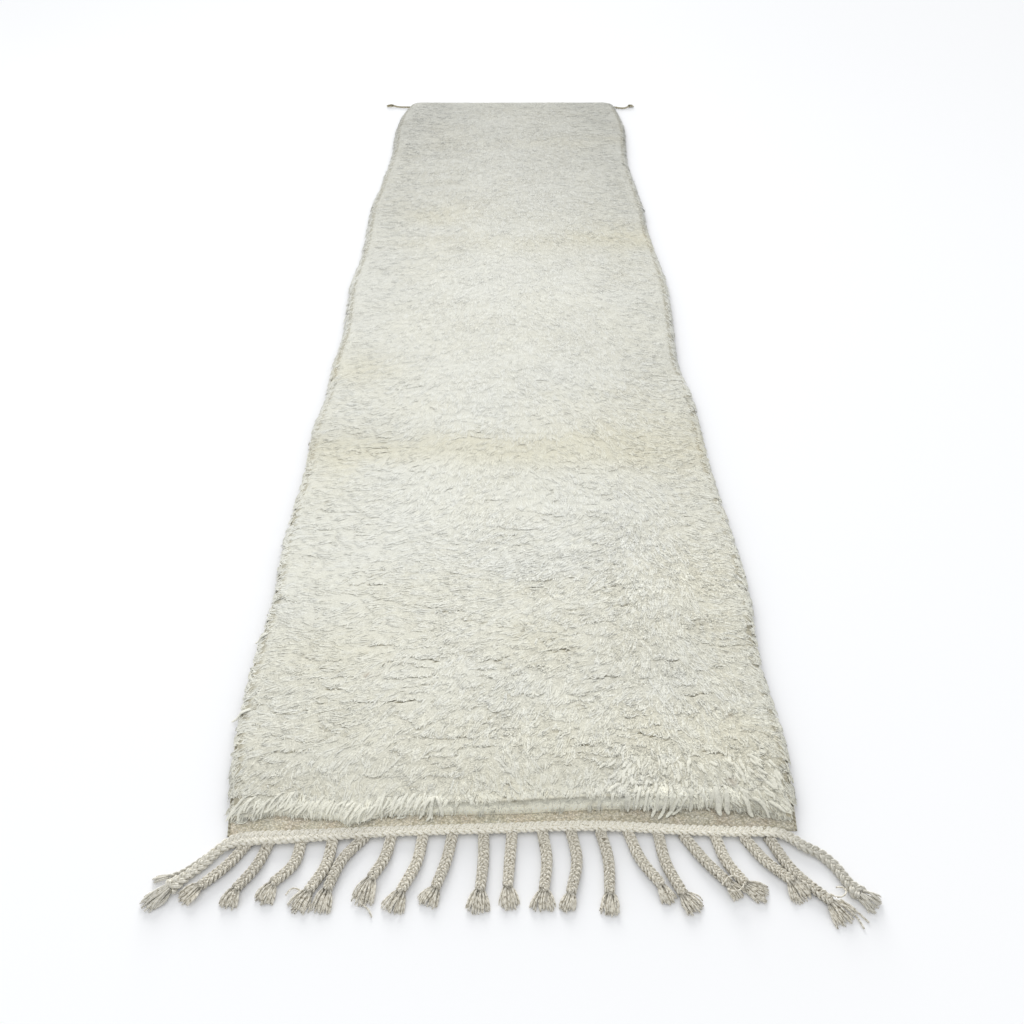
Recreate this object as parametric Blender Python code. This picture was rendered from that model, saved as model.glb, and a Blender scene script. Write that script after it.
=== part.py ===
# Beni ourain runner: a long, narrow, knotted wool rug that lies flat, with a plaited fringe in front.
#
# Metres, +Z up. The origin is on the floor, under the middle of the woven cloth. The fringed front
# end faces -Y, the plain back end +Y, and X runs across the rug. A station is a distance along the
# cloth from its front edge, and "across" runs from -1 at the left side to 1 at the right side.

import math
from collections import namedtuple

import bmesh
import bpy
from mathutils import Vector

MM = 0.001

# ---- Driving sizes -------------------------------------------------------------------------------

CLOTH_LENGTH = 3.060  # front of the heading cord to the back of the back cord
CLOTH_WIDTH = 0.793  # across the pile, away from the two narrower ends
SEAT = 0.0003  # left between two pieces that touch

WEAVE_THICKNESS = 0.0035
SELVEDGE_INSET = 0.003  # the pile falls this far past the woven side edges

PILE_HEIGHT = 0.0245  # floor to the locks' tips, away from the edges
PILE_RIM_HEIGHT = 0.009  # floor to the tips of the outermost locks
PILE_ROUND = 0.034  # how far in from an edge the pile reaches its full height
PILE_FRONT = 0.034  # station of the pile's front edge, behind the bare flat-woven band
PILE_BACK_LEAN = 0.016  # at the back it is as high as if it ran on by this much, for it leans out there
PILE_SWELL = 0.0016  # how far the surface rises and falls over its long, soft waves

HEADING_WIDTH = 0.014
HEADING_HEIGHT = 0.008
HEADING_LEFT = -0.356  # where the cord leaves the cloth's edge at either corner
HEADING_RIGHT = 0.356

COMB_THICKNESS = 0.002  # the strip of warp ends under the heading cord
COMB_LIP = 0.004  # how far that strip shows in front of the heading cord
COMB_LEFT = -0.352
COMB_RIGHT = 0.346
BRAID_WIDTH = 0.015
BRAID_HEIGHT = 0.010
BRAID_CLEARANCE = 0.0012  # the plaits start this far in front of the heading cord
TUFT_HEIGHT = 0.011
TUFT_TIP_HEIGHT = 0.005

BACK_CORD_SIZE = 0.007
BACK_CORD_LEFT = -0.360
BACK_CORD_RIGHT = 0.378
BACK_EDGE = CLOTH_LENGTH - BACK_CORD_SIZE - SEAT  # station where weave and pile end at the back

FRONT_FADE = 0.300  # the front edge's bends die out over this length of cloth

FRONT_Y = -CLOTH_LENGTH / 2

# How finely the pieces are faceted.
WEAVE_ROWS = 46
WEAVE_COLUMNS = 19
PILE_ROWS = 40
PILE_COLUMNS = 11
HEADING_STOPS = 13
COMB_SECTIONS = 29

# ---- Tables --------------------------------------------------------------------------------------

# The front edge isn't straight: how far back of station 0 it lies, across the rug, in millimetres.
Bend = namedtuple("Bend", "x back")
FRONT_BENDS = (
    Bend(-400, -11),
    Bend(-310, -5),
    Bend(-230, -0.5),
    Bend(-150, 3.5),
    Bend(-70, 6),
    Bend(0, 8.2),
    Bend(60, 10.6),
    Bend(110, 11),
    Bend(160, 9),
    Bend(220, 5),
    Bend(305, 1.5),
    Bend(400, -2.5),
)

# How far each side stands out past an even width. Station in metres, the sides in millimetres.
Side = namedtuple("Side", "station left right")
SIDES = (
    Side(0.00, -21, -14),
    Side(0.06, -12, -8),
    Side(0.15, 2, 0),
    Side(0.30, 6, -6),
    Side(0.45, 1, 5),
    Side(0.58, 8, 4),
    Side(0.78, 4, -4),
    Side(0.94, 9, -6),
    Side(1.05, 1, -3),
    Side(1.20, 3, -17),
    Side(1.35, -2, -8),
    Side(1.58, 11, 5),
    Side(1.74, 4, 0),
    Side(1.90, 5, -8),
    Side(2.08, 11, -4),
    Side(2.25, 1, -9),
    Side(2.44, -7, -17),
    Side(2.56, -9, -11),
    Side(2.78, -2, 4),
    Side(2.90, -9, -1),
    Side(2.98, -20, -7),
    Side(3.03, -31, -12),
    Side(3.06, -46, -26),
)

# One row for each plait of the fringe, from left to right, in millimetres. root is its place across
# the rug, lean and reach say how far to the right and how far forward of the root its neck lies, bow
# is how far its middle stands to the right of a straight run, tuft is the length of its tuft, tuft_lean
# is how far to the right of the neck the tuft ends, and spread is the tuft's width.
Braid = namedtuple("Braid", "root lean reach bow tuft tuft_lean spread")
BRAIDS = (
    Braid(-346, -49, 60, 4, 27, -20, 20),
    Braid(-318, -31, 66, 5, 25, -8, 29),
    Braid(-276, -28, 61, 10, 27, -10, 31),
    Braid(-235, -21, 73, 7, 30, -14, 34),
    Braid(-193, -40, 74, -7, 29, -5, 30),
    Braid(-158, -21, 60, 5, 36, -10, 34),
    Braid(-116, -24, 80, 6, 28, -10, 36),
    Braid(-77, -19, 76, 3, 26, -12, 32),
    Braid(-36, -3, 80, 2, 30, -3, 36),
    Braid(2, -6, 77, 0, 29, 3, 30),
    Braid(42, 0, 84, 5, 26, -3, 38),
    Braid(80, -4, 89, 8, 24, -7, 24),
    Braid(119, 6, 89, 5, 28, -2, 30),
    Braid(156, 36, 76, -6, 25, 9, 24),
    Braid(196, 22, 86, -6, 27, 16, 33),
    Braid(228, 51, 71, -3, 20, 12, 26),
    Braid(271, 28, 69, -6, 30, 25, 32),
    Braid(308, 51, 63, -5, 28, 10, 32),
    Braid(341, 61, 92, -9, 27, 11, 30),
)

# Cords that leave the cloth's corners: plan position in millimetres, y from the cloth's front edge,
# then the width and the height there. Each runs from the tip of its tuft towards the cloth.
Stop = namedtuple("Stop", "x y width height")
LEFT_TAIL = (
    Stop(-458, -93, 15, 5),
    Stop(-450, -85, 22, 8),
    Stop(-438, -74, 21, 10),
    Stop(-419, -60, 13, 9),
    Stop(-399, -43, 14, 8),
    Stop(-380, -17, 15, 8),
)
RIGHT_TAIL = (
    Stop(465, -98, 19, 5),
    Stop(456, -93, 27, 8),
    Stop(446, -85, 24, 10),
    Stop(433, -72, 15, 9),
    Stop(419, -49, 15, 8),
    Stop(402, -27, 15, 8),
    Stop(384, -16, 15, 8),
)
LEFT_STRAND = (
    Stop(-466, -58, 9, 3),
    Stop(-458, -58, 15, 5),
    Stop(-447, -58, 9, 5),
    Stop(-429, -51, 6, 5),
    Stop(-408, -34, 6, 5),
    Stop(-386, -14, 6, 5),
)
BACK_LEFT_TAIL = (
    Stop(-451, 3074, 8, 5),
    Stop(-443, 3073, 17, 9),
    Stop(-430, 3070, 15, 10),
    Stop(-415, 3063, 7, 7),
    Stop(-396, 3058, 7, 7),
)
BACK_RIGHT_TAIL = (
    Stop(458, 3074, 9, 5),
    Stop(450, 3067, 18, 9),
    Stop(439, 3057, 15, 10),
    Stop(425, 3047, 6, 6),
    Stop(406, 3045, 7, 7),
)

# ---- Curves --------------------------------------------------------------------------------------


def slope_at(places, values, index):
    """The slope of the smooth curve through the values, at one of them."""
    before = max(index - 1, 0)
    after = min(index + 1, len(places) - 1)
    return (values[after] - values[before]) / (places[after] - places[before])


def smooth_value(places, values, place):
    """The value at a place, on a smooth curve through the values at rising places."""
    index = 0
    while index < len(places) - 2 and place > places[index + 1]:
        index += 1
    span = places[index + 1] - places[index]
    t = min(max((place - places[index]) / span, 0.0), 1.0)
    start = values[index]
    end = values[index + 1]
    start_slope = slope_at(places, values, index) * span
    end_slope = slope_at(places, values, index + 1) * span
    return (
        (2 * t**3 - 3 * t**2 + 1) * start
        + (t**3 - 2 * t**2 + t) * start_slope
        + (3 * t**2 - 2 * t**3) * end
        + (t**3 - t**2) * end_slope
    )


def front_line(x):
    """How far back of station 0 the cloth's front edge lies at x."""
    return MM * smooth_value([row.x for row in FRONT_BENDS], [row.back for row in FRONT_BENDS], x / MM)


def cloth_point(station, across, inset):
    """Plan position of a point of the cloth, whose sides are drawn in by inset."""
    stations = [row.station for row in SIDES]
    out_left = MM * smooth_value(stations, [row.left for row in SIDES], station)
    out_right = MM * smooth_value(stations, [row.right for row in SIDES], station)
    left = -(CLOTH_WIDTH / 2 + out_left - inset)
    right = CLOTH_WIDTH / 2 + out_right - inset
    x = left + (right - left) * (across + 1) / 2
    fade = min(1.0, max(0.0, 1.0 - (station - HEADING_WIDTH - SEAT) / FRONT_FADE))
    return x, FRONT_Y + station + fade * front_line(x)


def evenly(start, end, count):
    """Evenly spaced numbers from start to end, both included."""
    return [start + (end - start) * step / (count - 1) for step in range(count)]


# ---- Solids --------------------------------------------------------------------------------------


def add_object(name, bm):
    """A mesh object from a finished bmesh, with its faces turned out."""
    bmesh.ops.recalc_face_normals(bm, faces=bm.faces)
    mesh = bpy.data.meshes.new(name)
    bm.to_mesh(mesh)
    bm.free()
    obj = bpy.data.objects.new(name, mesh)
    bpy.context.scene.collection.objects.link(obj)
    return obj


def loft(name, rings):
    """A closed solid through rings of equally many points, with a flat cap at each end."""
    bm = bmesh.new()
    loops = [[bm.verts.new(point) for point in ring] for ring in rings]
    for one, two in zip(loops, loops[1:]):
        for side in range(len(one)):
            nxt = (side + 1) % len(one)
            bm.faces.new((one[side], one[nxt], two[nxt], two[side]))
    bm.faces.new(loops[0])
    bm.faces.new(loops[-1])
    return add_object(name, bm)


def slab(name, stations, columns, inset, underside, top):
    """A closed slab of cloth. top gives its height at a station and a place across."""
    bm = bmesh.new()
    low = []
    high = []
    for station in stations:
        points = [cloth_point(station, across, inset) for across in columns]
        heights = [top(station, across) for across in columns]
        low.append([bm.verts.new((x, y, underside)) for x, y in points])
        high.append([bm.verts.new((x, y, z)) for (x, y), z in zip(points, heights)])
    for row in range(len(stations) - 1):
        for col in range(len(columns) - 1):
            for grid in (low, high):
                corner = (grid[row][col], grid[row][col + 1], grid[row + 1][col + 1], grid[row + 1][col])
                bm.faces.new(corner)
        for col in (0, -1):
            bm.faces.new((low[row][col], low[row + 1][col], high[row + 1][col], high[row][col]))
    for row in (0, -1):
        for col in range(len(columns) - 1):
            bm.faces.new((low[row][col], low[row][col + 1], high[row][col + 1], high[row][col]))
    return add_object(name, bm)


def oval(centre, side, width, height, corners):
    """An upright oval ring around a centre. side is the level direction of its width."""
    ring = []
    for step in range(corners):
        angle = 2 * math.pi * step / corners - math.pi / 2
        out = side * (math.cos(angle) * width / 2)
        ring.append(centre + out + Vector((0, 0, math.sin(angle) * height / 2)))
    return ring


def cord_rings(stops, lifts, steps, corners, first_side=None):
    """Oval rings along a smooth cord through the stops. lifts is the height of its underside at each."""
    places = list(range(len(stops)))
    rings = []
    columns = [[getattr(stop, name) for stop in stops] for name in Stop._fields] + [lifts]
    count = (len(stops) - 1) * steps + 1
    rows = [[smooth_value(places, column, index / steps) for column in columns] for index in range(count)]
    for index, (x, y, width, height, lift) in enumerate(rows):
        before = rows[max(index - 1, 0)]
        after = rows[min(index + 1, count - 1)]
        along = Vector((after[0] - before[0], after[1] - before[1], 0)).normalized()
        side = Vector((-along.y, along.x, 0))
        if index == 0 and first_side is not None:
            side = first_side
        centre = Vector((x, y, lift + height / 2))
        rings.append(oval(centre, side, width, height, corners))
    return rings


def metres(stops):
    """Stops of a corner table, turned to metres in the rug's frame."""
    return [Stop(s.x * MM, FRONT_Y + s.y * MM, s.width * MM, s.height * MM) for s in stops]


def join_to(body, others):
    """Makes one solid of the body and the others, which stay as hidden guides."""
    for other in others:
        other.hide_render = True
        other.display_type = "WIRE"
        union = body.modifiers.new("join " + other.name, "BOOLEAN")
        union.operation = "UNION"
        union.solver = "EXACT"
        union.object = other


def finish(obj, colour, roughness, smooth):
    """Gives a piece its wool, and smooth shading where it is round."""
    material = bpy.data.materials.new(obj.name)
    material.use_nodes = True
    shader = material.node_tree.nodes["Principled BSDF"]
    shader.inputs["Base Color"].default_value = (*colour, 1.0)
    shader.inputs["Roughness"].default_value = roughness
    shader.inputs["Metallic"].default_value = 0.0
    obj.data.materials.append(material)
    if smooth:
        obj.data.shade_smooth()
        obj.data.set_sharp_from_angle(angle=math.radians(50))


# ---- The rug's pieces ----------------------------------------------------------------------------


def make_ground_weave():
    """The thin woven foundation, whose bare front band is flat-woven."""
    stations = evenly(HEADING_WIDTH + SEAT, BACK_EDGE, WEAVE_ROWS)
    columns = evenly(-1.0, 1.0, WEAVE_COLUMNS)
    weave = slab("ground_weave", stations, columns, SELVEDGE_INSET, 0.0, lambda s, a: WEAVE_THICKNESS)
    finish(weave, (0.42, 0.37, 0.27), 0.95, smooth=False)


def pile_top(station, across):
    """Height of the pile: full inside, rounded down to its rim, with long soft waves."""
    from_side = (1 - abs(across)) * CLOTH_WIDTH / 2
    from_end = min(station - PILE_FRONT, BACK_EDGE + PILE_BACK_LEAN - station)
    rounds = [min(max(distance / PILE_ROUND, 0.0), 1.0) for distance in (from_side, from_end)]
    fullness = math.prod(math.sqrt(1 - (1 - share) ** 2) for share in rounds)
    swell = math.sin(9.7 * station + 1.9 * across) + 0.6 * math.sin(23.1 * station - 3.4 * across + 1.0)
    height = PILE_HEIGHT + PILE_SWELL * swell / 1.6
    return PILE_RIM_HEIGHT + (height - PILE_RIM_HEIGHT) * fullness


def make_pile():
    """The knotted pile, as one slab that reaches as far as its locks do."""
    rim = [0.0, 0.006, 0.016, PILE_ROUND]
    front = [PILE_FRONT + distance for distance in rim]
    back = [BACK_EDGE - distance for distance in reversed(rim)]
    stations = front + evenly(front[-1], back[0], PILE_ROWS)[1:-1] + back
    side = [1 - distance / (CLOTH_WIDTH / 2) for distance in rim]
    columns = [-place for place in side] + evenly(-side[-1], side[-1], PILE_COLUMNS)[1:-1] + side[::-1]
    pile = slab("pile", stations, columns, 0.0, WEAVE_THICKNESS + SEAT, pile_top)
    finish(pile, (0.76, 0.74, 0.66), 0.95, smooth=True)


def make_heading_cord():
    """The plaited cord along the front edge, with its two tails and the left tail's loose strand."""
    run = []
    for x in evenly(HEADING_LEFT, HEADING_RIGHT, HEADING_STOPS):
        run.append(Stop(x, FRONT_Y + front_line(x) + HEADING_WIDTH / 2, HEADING_WIDTH, HEADING_HEIGHT))
    left = metres(LEFT_TAIL)
    right = metres(RIGHT_TAIL)[::-1]
    on_comb = COMB_THICKNESS + SEAT
    corner = on_comb * 0.7  # just past the cloth's corner the cord is coming down to the floor
    lifts = [0.0] * (len(left) - 1) + [corner] + [on_comb] * len(run) + [corner] + [0.0] * (len(right) - 1)
    heading = loft("heading_cord", cord_rings(left + run + right, lifts, 3, 10))
    strand = metres(LEFT_STRAND)
    guide = loft("left_strand_guide", cord_rings(strand, [0.0005] * len(strand), 2, 6))
    join_to(heading, [guide])
    finish(heading, (0.72, 0.70, 0.60), 0.9, smooth=True)


def braid_rings(braid):
    """Rings of one plait and its tuft, from the warp ends under the heading to the yarn tips."""
    x = braid.root * MM
    root = Vector((x, FRONT_Y + front_line(x) - BRAID_CLEARANCE))
    neck = root + Vector((braid.lean, -braid.reach)) * MM
    along = (neck - root).normalized()
    to_right = Vector((-along.y, along.x))
    middle = (root + neck) / 2 + to_right * braid.bow * MM
    tuft = Vector((braid.tuft_lean, -math.sqrt(braid.tuft**2 - braid.tuft_lean**2))) * MM
    spread = braid.spread * MM
    stops = [
        Stop(*root, BRAID_WIDTH, BRAID_HEIGHT),
        Stop(*middle, BRAID_WIDTH, BRAID_HEIGHT),
        Stop(*neck, BRAID_WIDTH * 0.9, BRAID_HEIGHT),
        Stop(*(neck + tuft * 0.35), spread * 0.75, TUFT_HEIGHT),
        Stop(*(neck + tuft * 0.75), spread, TUFT_HEIGHT * 0.85),
        Stop(*(neck + tuft), spread * 0.7, TUFT_TIP_HEIGHT),
    ]
    return cord_rings(stops, [0.0] * len(stops), 2, 8, first_side=Vector((1, 0, 0)))


def make_fringe():
    """The comb of warp-end plaits: a thin strip under the heading cord, and a tooth for each plait."""
    rings = []
    for x in evenly(COMB_LEFT, COMB_RIGHT, COMB_SECTIONS):
        front = FRONT_Y + front_line(x) - COMB_LIP
        back = FRONT_Y + front_line(x) + HEADING_WIDTH - SEAT
        corners = ((front, 0), (back, 0), (back, COMB_THICKNESS), (front, COMB_THICKNESS))
        rings.append([Vector((x, y, z)) for y, z in corners])
    comb = loft("fringe", rings)
    teeth = [loft(f"plait_guide_{n + 1:02d}", braid_rings(braid)) for n, braid in enumerate(BRAIDS)]
    join_to(comb, teeth)
    finish(comb, (0.52, 0.49, 0.40), 0.95, smooth=True)


def make_back_cord():
    """The thin cord along the back edge, whose ends stick out at the corners as two small tassels."""
    y = FRONT_Y + CLOTH_LENGTH - BACK_CORD_SIZE / 2
    places = evenly(BACK_CORD_LEFT, BACK_CORD_RIGHT, HEADING_STOPS)
    run = [Stop(x, y, BACK_CORD_SIZE, BACK_CORD_SIZE) for x in places]
    stops = metres(BACK_LEFT_TAIL) + run + metres(BACK_RIGHT_TAIL)[::-1]
    cord = loft("back_cord", cord_rings(stops, [0.0] * len(stops), 2, 8))
    finish(cord, (0.45, 0.42, 0.33), 0.95, smooth=True)


for leftover in list(bpy.data.objects):
    bpy.data.objects.remove(leftover, do_unlink=True)

make_ground_weave()
make_pile()
make_heading_cord()
make_fringe()
make_back_cord()
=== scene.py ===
# Beni ourain runner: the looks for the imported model. Metres, +Z up, the fringed end faces -Y.
# A station is a distance along the cloth from its front edge, and across runs from -1 to 1.

import math

import bpy
import numpy as np
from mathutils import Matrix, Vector


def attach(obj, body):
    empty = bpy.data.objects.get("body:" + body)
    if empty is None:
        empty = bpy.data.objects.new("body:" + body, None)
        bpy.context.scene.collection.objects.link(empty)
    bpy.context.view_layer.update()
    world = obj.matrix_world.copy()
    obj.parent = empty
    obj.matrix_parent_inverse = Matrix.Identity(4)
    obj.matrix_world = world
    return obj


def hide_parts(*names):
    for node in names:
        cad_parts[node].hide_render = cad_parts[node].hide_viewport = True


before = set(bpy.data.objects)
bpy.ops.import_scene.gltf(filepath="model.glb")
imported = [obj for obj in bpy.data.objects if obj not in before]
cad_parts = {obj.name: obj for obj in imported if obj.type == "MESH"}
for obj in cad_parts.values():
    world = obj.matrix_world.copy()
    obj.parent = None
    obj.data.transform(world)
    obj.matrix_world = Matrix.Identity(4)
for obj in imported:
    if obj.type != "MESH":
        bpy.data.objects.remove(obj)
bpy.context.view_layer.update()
print("frame loaded:", sorted(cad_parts))

mm = 0.001

cloth = {
    "length": 3.060,
    "width": 0.793,
    "frontY": -1.530,
    "backEdge": 3.0527,  # station where weave and pile end
    "weave": 0.0035,  # thickness of the woven foundation
    "weaveFront": 0.0143,  # station where the woven band comes out from under the heading cord
    "selvedgeInset": 0.003,
    "fade": 0.300,  # the front edge's bends die out over this length
}

# how far back of station 0 the front edge lies: x and the distance, in millimetres
frontBends = np.array([
    (-400, -11), (-310, -5), (-230, -0.5), (-150, 3.5), (-70, 6), (0, 8.2), (60, 10.6), (110, 11),
    (160, 9), (220, 5), (305, 1.5), (400, -2.5),
])

# station in metres, then how far each side stands out past the even width, in millimetres
sideLine = np.array([
    (0.00, -21, -14), (0.06, -12, -8), (0.15, 2, 0), (0.30, 6, -6), (0.45, 1, 5), (0.58, 8, 4),
    (0.78, 4, -4), (0.94, 9, -6), (1.05, 1, -3), (1.20, 3, -17), (1.35, -2, -8), (1.58, 11, 5),
    (1.74, 4, 0), (1.90, 5, -8), (2.08, 11, -4), (2.25, 1, -9), (2.44, -7, -17), (2.56, -9, -11),
    (2.78, -2, 4), (2.90, -9, -1), (2.98, -20, -7), (3.03, -31, -12), (3.06, -46, -26),
])


def smoothCurve(places, values, at):
    # a smooth curve through the values, the same one that the solids' sides follow
    places = np.asarray(places, float)
    values = np.asarray(values, float)
    index = np.clip(np.searchsorted(places, at) - 1, 0, len(places) - 2)
    slopes = np.empty_like(values)
    slopes[1:-1] = (values[2:] - values[:-2]) / (places[2:] - places[:-2])
    slopes[0] = (values[1] - values[0]) / (places[1] - places[0])
    slopes[-1] = (values[-1] - values[-2]) / (places[-1] - places[-2])
    span = places[index + 1] - places[index]
    t = np.clip((at - places[index]) / span, 0, 1)
    start = (2 * t**3 - 3 * t**2 + 1) * values[index] + (t**3 - 2 * t**2 + t) * slopes[index] * span
    end = (3 * t**2 - 2 * t**3) * values[index + 1] + (t**3 - t**2) * slopes[index + 1] * span
    return start + end


def frontLine(x):
    return mm * smoothCurve(frontBends[:, 0], frontBends[:, 1], np.asarray(x) / mm)


def bendLeft(station):
    # share of the front edge's bends that a place so far along the cloth still has
    return np.clip(1 - (station - cloth["weaveFront"]) / cloth["fade"], 0, 1)


def clothSides(station, inset=0.0):
    left = -(cloth["width"] / 2 + mm * smoothCurve(sideLine[:, 0], sideLine[:, 1], station) - inset)
    right = cloth["width"] / 2 + mm * smoothCurve(sideLine[:, 0], sideLine[:, 2], station) - inset
    return left, right


def clothPlace(station, across, inset=0.0):
    left, right = clothSides(station, inset)
    x = left + (right - left) * (across + 1) / 2
    return x, cloth["frontY"] + station + bendLeft(station) * frontLine(x)


def clothStation(x, y):
    station = y - cloth["frontY"]
    for _ in range(3):
        station = y - cloth["frontY"] - bendLeft(station) * frontLine(x)
    return station


def softNoise(x, y, size, seed):
    # smooth random values from -1 to 1, whose bumps are about size apart
    table = np.random.default_rng(seed).uniform(-1, 1, (257, 257))
    u = np.asarray(x) / size + 40.3
    v = np.asarray(y) / size + 71.7
    i = np.floor(u).astype(int)
    j = np.floor(v).astype(int)
    fu = u - i
    fv = v - j
    fu = fu * fu * (3 - 2 * fu)
    fv = fv * fv * (3 - 2 * fv)
    near = table[i % 257, j % 257] * (1 - fu) + table[(i + 1) % 257, j % 257] * fu
    far = table[i % 257, (j + 1) % 257] * (1 - fu) + table[(i + 1) % 257, (j + 1) % 257] * fu
    return near * (1 - fv) + far * fv


def unit(vectors):
    return vectors / np.maximum(np.linalg.norm(vectors, axis=-1, keepdims=True), 1e-12)


def linear(hexColour):
    channels = [int(hexColour[at:at + 2], 16) / 255 for at in (1, 3, 5)]
    return [c / 12.92 if c <= 0.04045 else ((c + 0.055) / 1.055) ** 2.4 for c in channels] + [1.0]


def addNode(tree, kind, inputs=None, stops=None, **settings):
    # a node with its settings, its ramp's stops, and values, sockets or nodes (their first output)
    # for its inputs
    node = tree.nodes.new(kind)
    for name, value in settings.items():
        setattr(node, name, value)
    if stops:
        while len(node.color_ramp.elements) < len(stops):
            node.color_ramp.elements.new(0.5)
        for element, (place, colour) in zip(node.color_ramp.elements, stops):
            element.position = place
            element.color = linear(colour)
    for name, value in (inputs or {}).items():
        if isinstance(value, bpy.types.Node):
            value = value.outputs[0]
        if isinstance(value, bpy.types.NodeSocket):
            tree.links.new(value, node.inputs[name])
        elif isinstance(value, str):
            node.inputs[name].default_value = linear(value)
        else:
            node.inputs[name].default_value = value
    return node


def newWool(name, tint="#F2EFE4"):
    # wool's scaly fibres scatter light: no shine, only a pale bloom where it is seen at a slant
    material = bpy.data.materials.new(name)
    material.use_nodes = True
    tree = material.node_tree
    shader = tree.nodes["Principled BSDF"]
    shader.inputs["Roughness"].default_value = 0.92
    shader.inputs["Specular IOR Level"].default_value = 0.25
    shader.inputs["IOR"].default_value = 1.54
    shader.inputs["Sheen Weight"].default_value = 0.15
    shader.inputs["Sheen Roughness"].default_value = 0.6
    shader.inputs["Sheen Tint"].default_value = linear(tint)
    return material, tree, shader


def joinShader(tree, shader, colour, bump):
    tree.links.new(colour.outputs["Color"], shader.inputs["Base Color"])
    tree.links.new(bump.outputs["Normal"], shader.inputs["Normal"])


def pileWool():
    # brushed, undyed, hand-spun ivory wool: bright matt tips over darker olive-tan roots, whose darkness is
    # partly painted shade
    material, tree, shader = newWool("handspun ivory wool")
    along, warm, tone, stain, loose = [
        addNode(tree, "ShaderNodeAttribute", attribute_name=name).outputs["Fac"]
        for name in ("along", "warm", "tone", "stain", "loose")]
    strand = addNode(tree, "ShaderNodeUVMap", uv_map="strand")
    cool = addNode(tree, "ShaderNodeValToRGB", {"Fac": along}, stops=pileStyle["coolRamp"])
    cream = addNode(tree, "ShaderNodeValToRGB", {"Fac": along}, stops=pileStyle["warmRamp"])
    shade = addNode(tree, "ShaderNodeMix", {"Factor": warm, 6: cool, 7: cream}, data_type="RGBA")
    # spun strands: streaks 1.5 mm wide and 15 mm long
    stretched = addNode(tree, "ShaderNodeMapping", {"Vector": strand, "Scale": (660, 66, 1)})
    fibres = addNode(tree, "ShaderNodeTexNoise", {"Vector": stretched, "Scale": 1.0, "Detail": 1.0})
    grain = addNode(tree, "ShaderNodeMapRange", {"Value": fibres, "From Min": 0.3, "From Max": 0.7,
        "To Min": 0.95, "To Max": 1.03})
    # the fibres' crimp: curly light and dark dots 3 mm apart, as on any unspun fleece
    place = addNode(tree, "ShaderNodeTexCoord").outputs["Object"]
    curls = addNode(tree, "ShaderNodeMapping", {"Vector": place, "Scale": (330, 380, 240)})
    crimp = addNode(tree, "ShaderNodeTexNoise", {"Vector": curls, "Scale": 1.0, "Detail": 2.0,
        "Roughness": 0.6, "Distortion": 1.2})
    curl = addNode(tree, "ShaderNodeMapRange", {"Value": crimp, "From Min": 0.3, "From Max": 0.7,
        "To Min": pileStyle["crimpDark"], "To Max": pileStyle["crimpLight"]})
    dots = addNode(tree, "ShaderNodeMath", {0: curl, 1: loose, 2: 1.0}, operation="MULTIPLY_ADD")
    # painted shade: short wavy dark lines where the gaps between tufts of fibre are, a millimetre or two wide
    gapPlace = addNode(tree, "ShaderNodeMapping", {"Vector": place, "Scale": (75, 130, 40)})
    gapField = addNode(tree, "ShaderNodeTexNoise", {"Vector": gapPlace, "Scale": 1.0, "Detail": 2.0,
        "Roughness": 0.55, "Distortion": 0.8})
    fromLine = addNode(tree, "ShaderNodeMath", {0: gapField, 1: 0.5}, operation="SUBTRACT")
    offLine = addNode(tree, "ShaderNodeMath", {0: fromLine}, operation="ABSOLUTE")
    line = addNode(tree, "ShaderNodeMapRange", {"Value": offLine, "From Min": 0.004,
        "From Max": pileStyle["gapWidth"], "To Min": 1.0, "To Max": 0.0})
    parted = addNode(tree, "ShaderNodeTexNoise", {"Vector": place, "Scale": 62.0, "Detail": 1.0})
    share = addNode(tree, "ShaderNodeMapRange", {"Value": parted, "From Min": 0.44, "From Max": 0.54,
        "To Min": 0.0, "To Max": pileStyle["gapDepth"]})
    opened = addNode(tree, "ShaderNodeMath", {0: share, 1: loose}, operation="MULTIPLY")
    gap = addNode(tree, "ShaderNodeMath", {0: line, 1: opened}, operation="MULTIPLY")
    closed = addNode(tree, "ShaderNodeMath", {0: 1.0, 1: gap}, operation="SUBTRACT")
    bright = addNode(tree, "ShaderNodeMath", {0: tone, 1: pileStyle["toneSpan"], 2: 1.0},
        operation="MULTIPLY_ADD")
    fine = addNode(tree, "ShaderNodeMath", {0: grain, 1: dots}, operation="MULTIPLY")
    toned = addNode(tree, "ShaderNodeMath", {0: fine, 1: bright}, operation="MULTIPLY")
    both = addNode(tree, "ShaderNodeMath", {0: toned, 1: closed}, operation="MULTIPLY")
    stained = addNode(tree, "ShaderNodeMix", {"Factor": stain, 6: shade.outputs[2],
        7: pileStyle["stain"]}, data_type="RGBA")
    final = addNode(tree, "ShaderNodeHueSaturation", {"Color": stained.outputs[2], "Value": both})
    relief = addNode(tree, "ShaderNodeMath", {0: fibres, 1: crimp}, operation="ADD")
    bump = addNode(tree, "ShaderNodeBump", {"Height": relief, "Strength": 0.25, "Distance": 0.0006})
    joinShader(tree, shader, final, bump)
    return material


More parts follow.
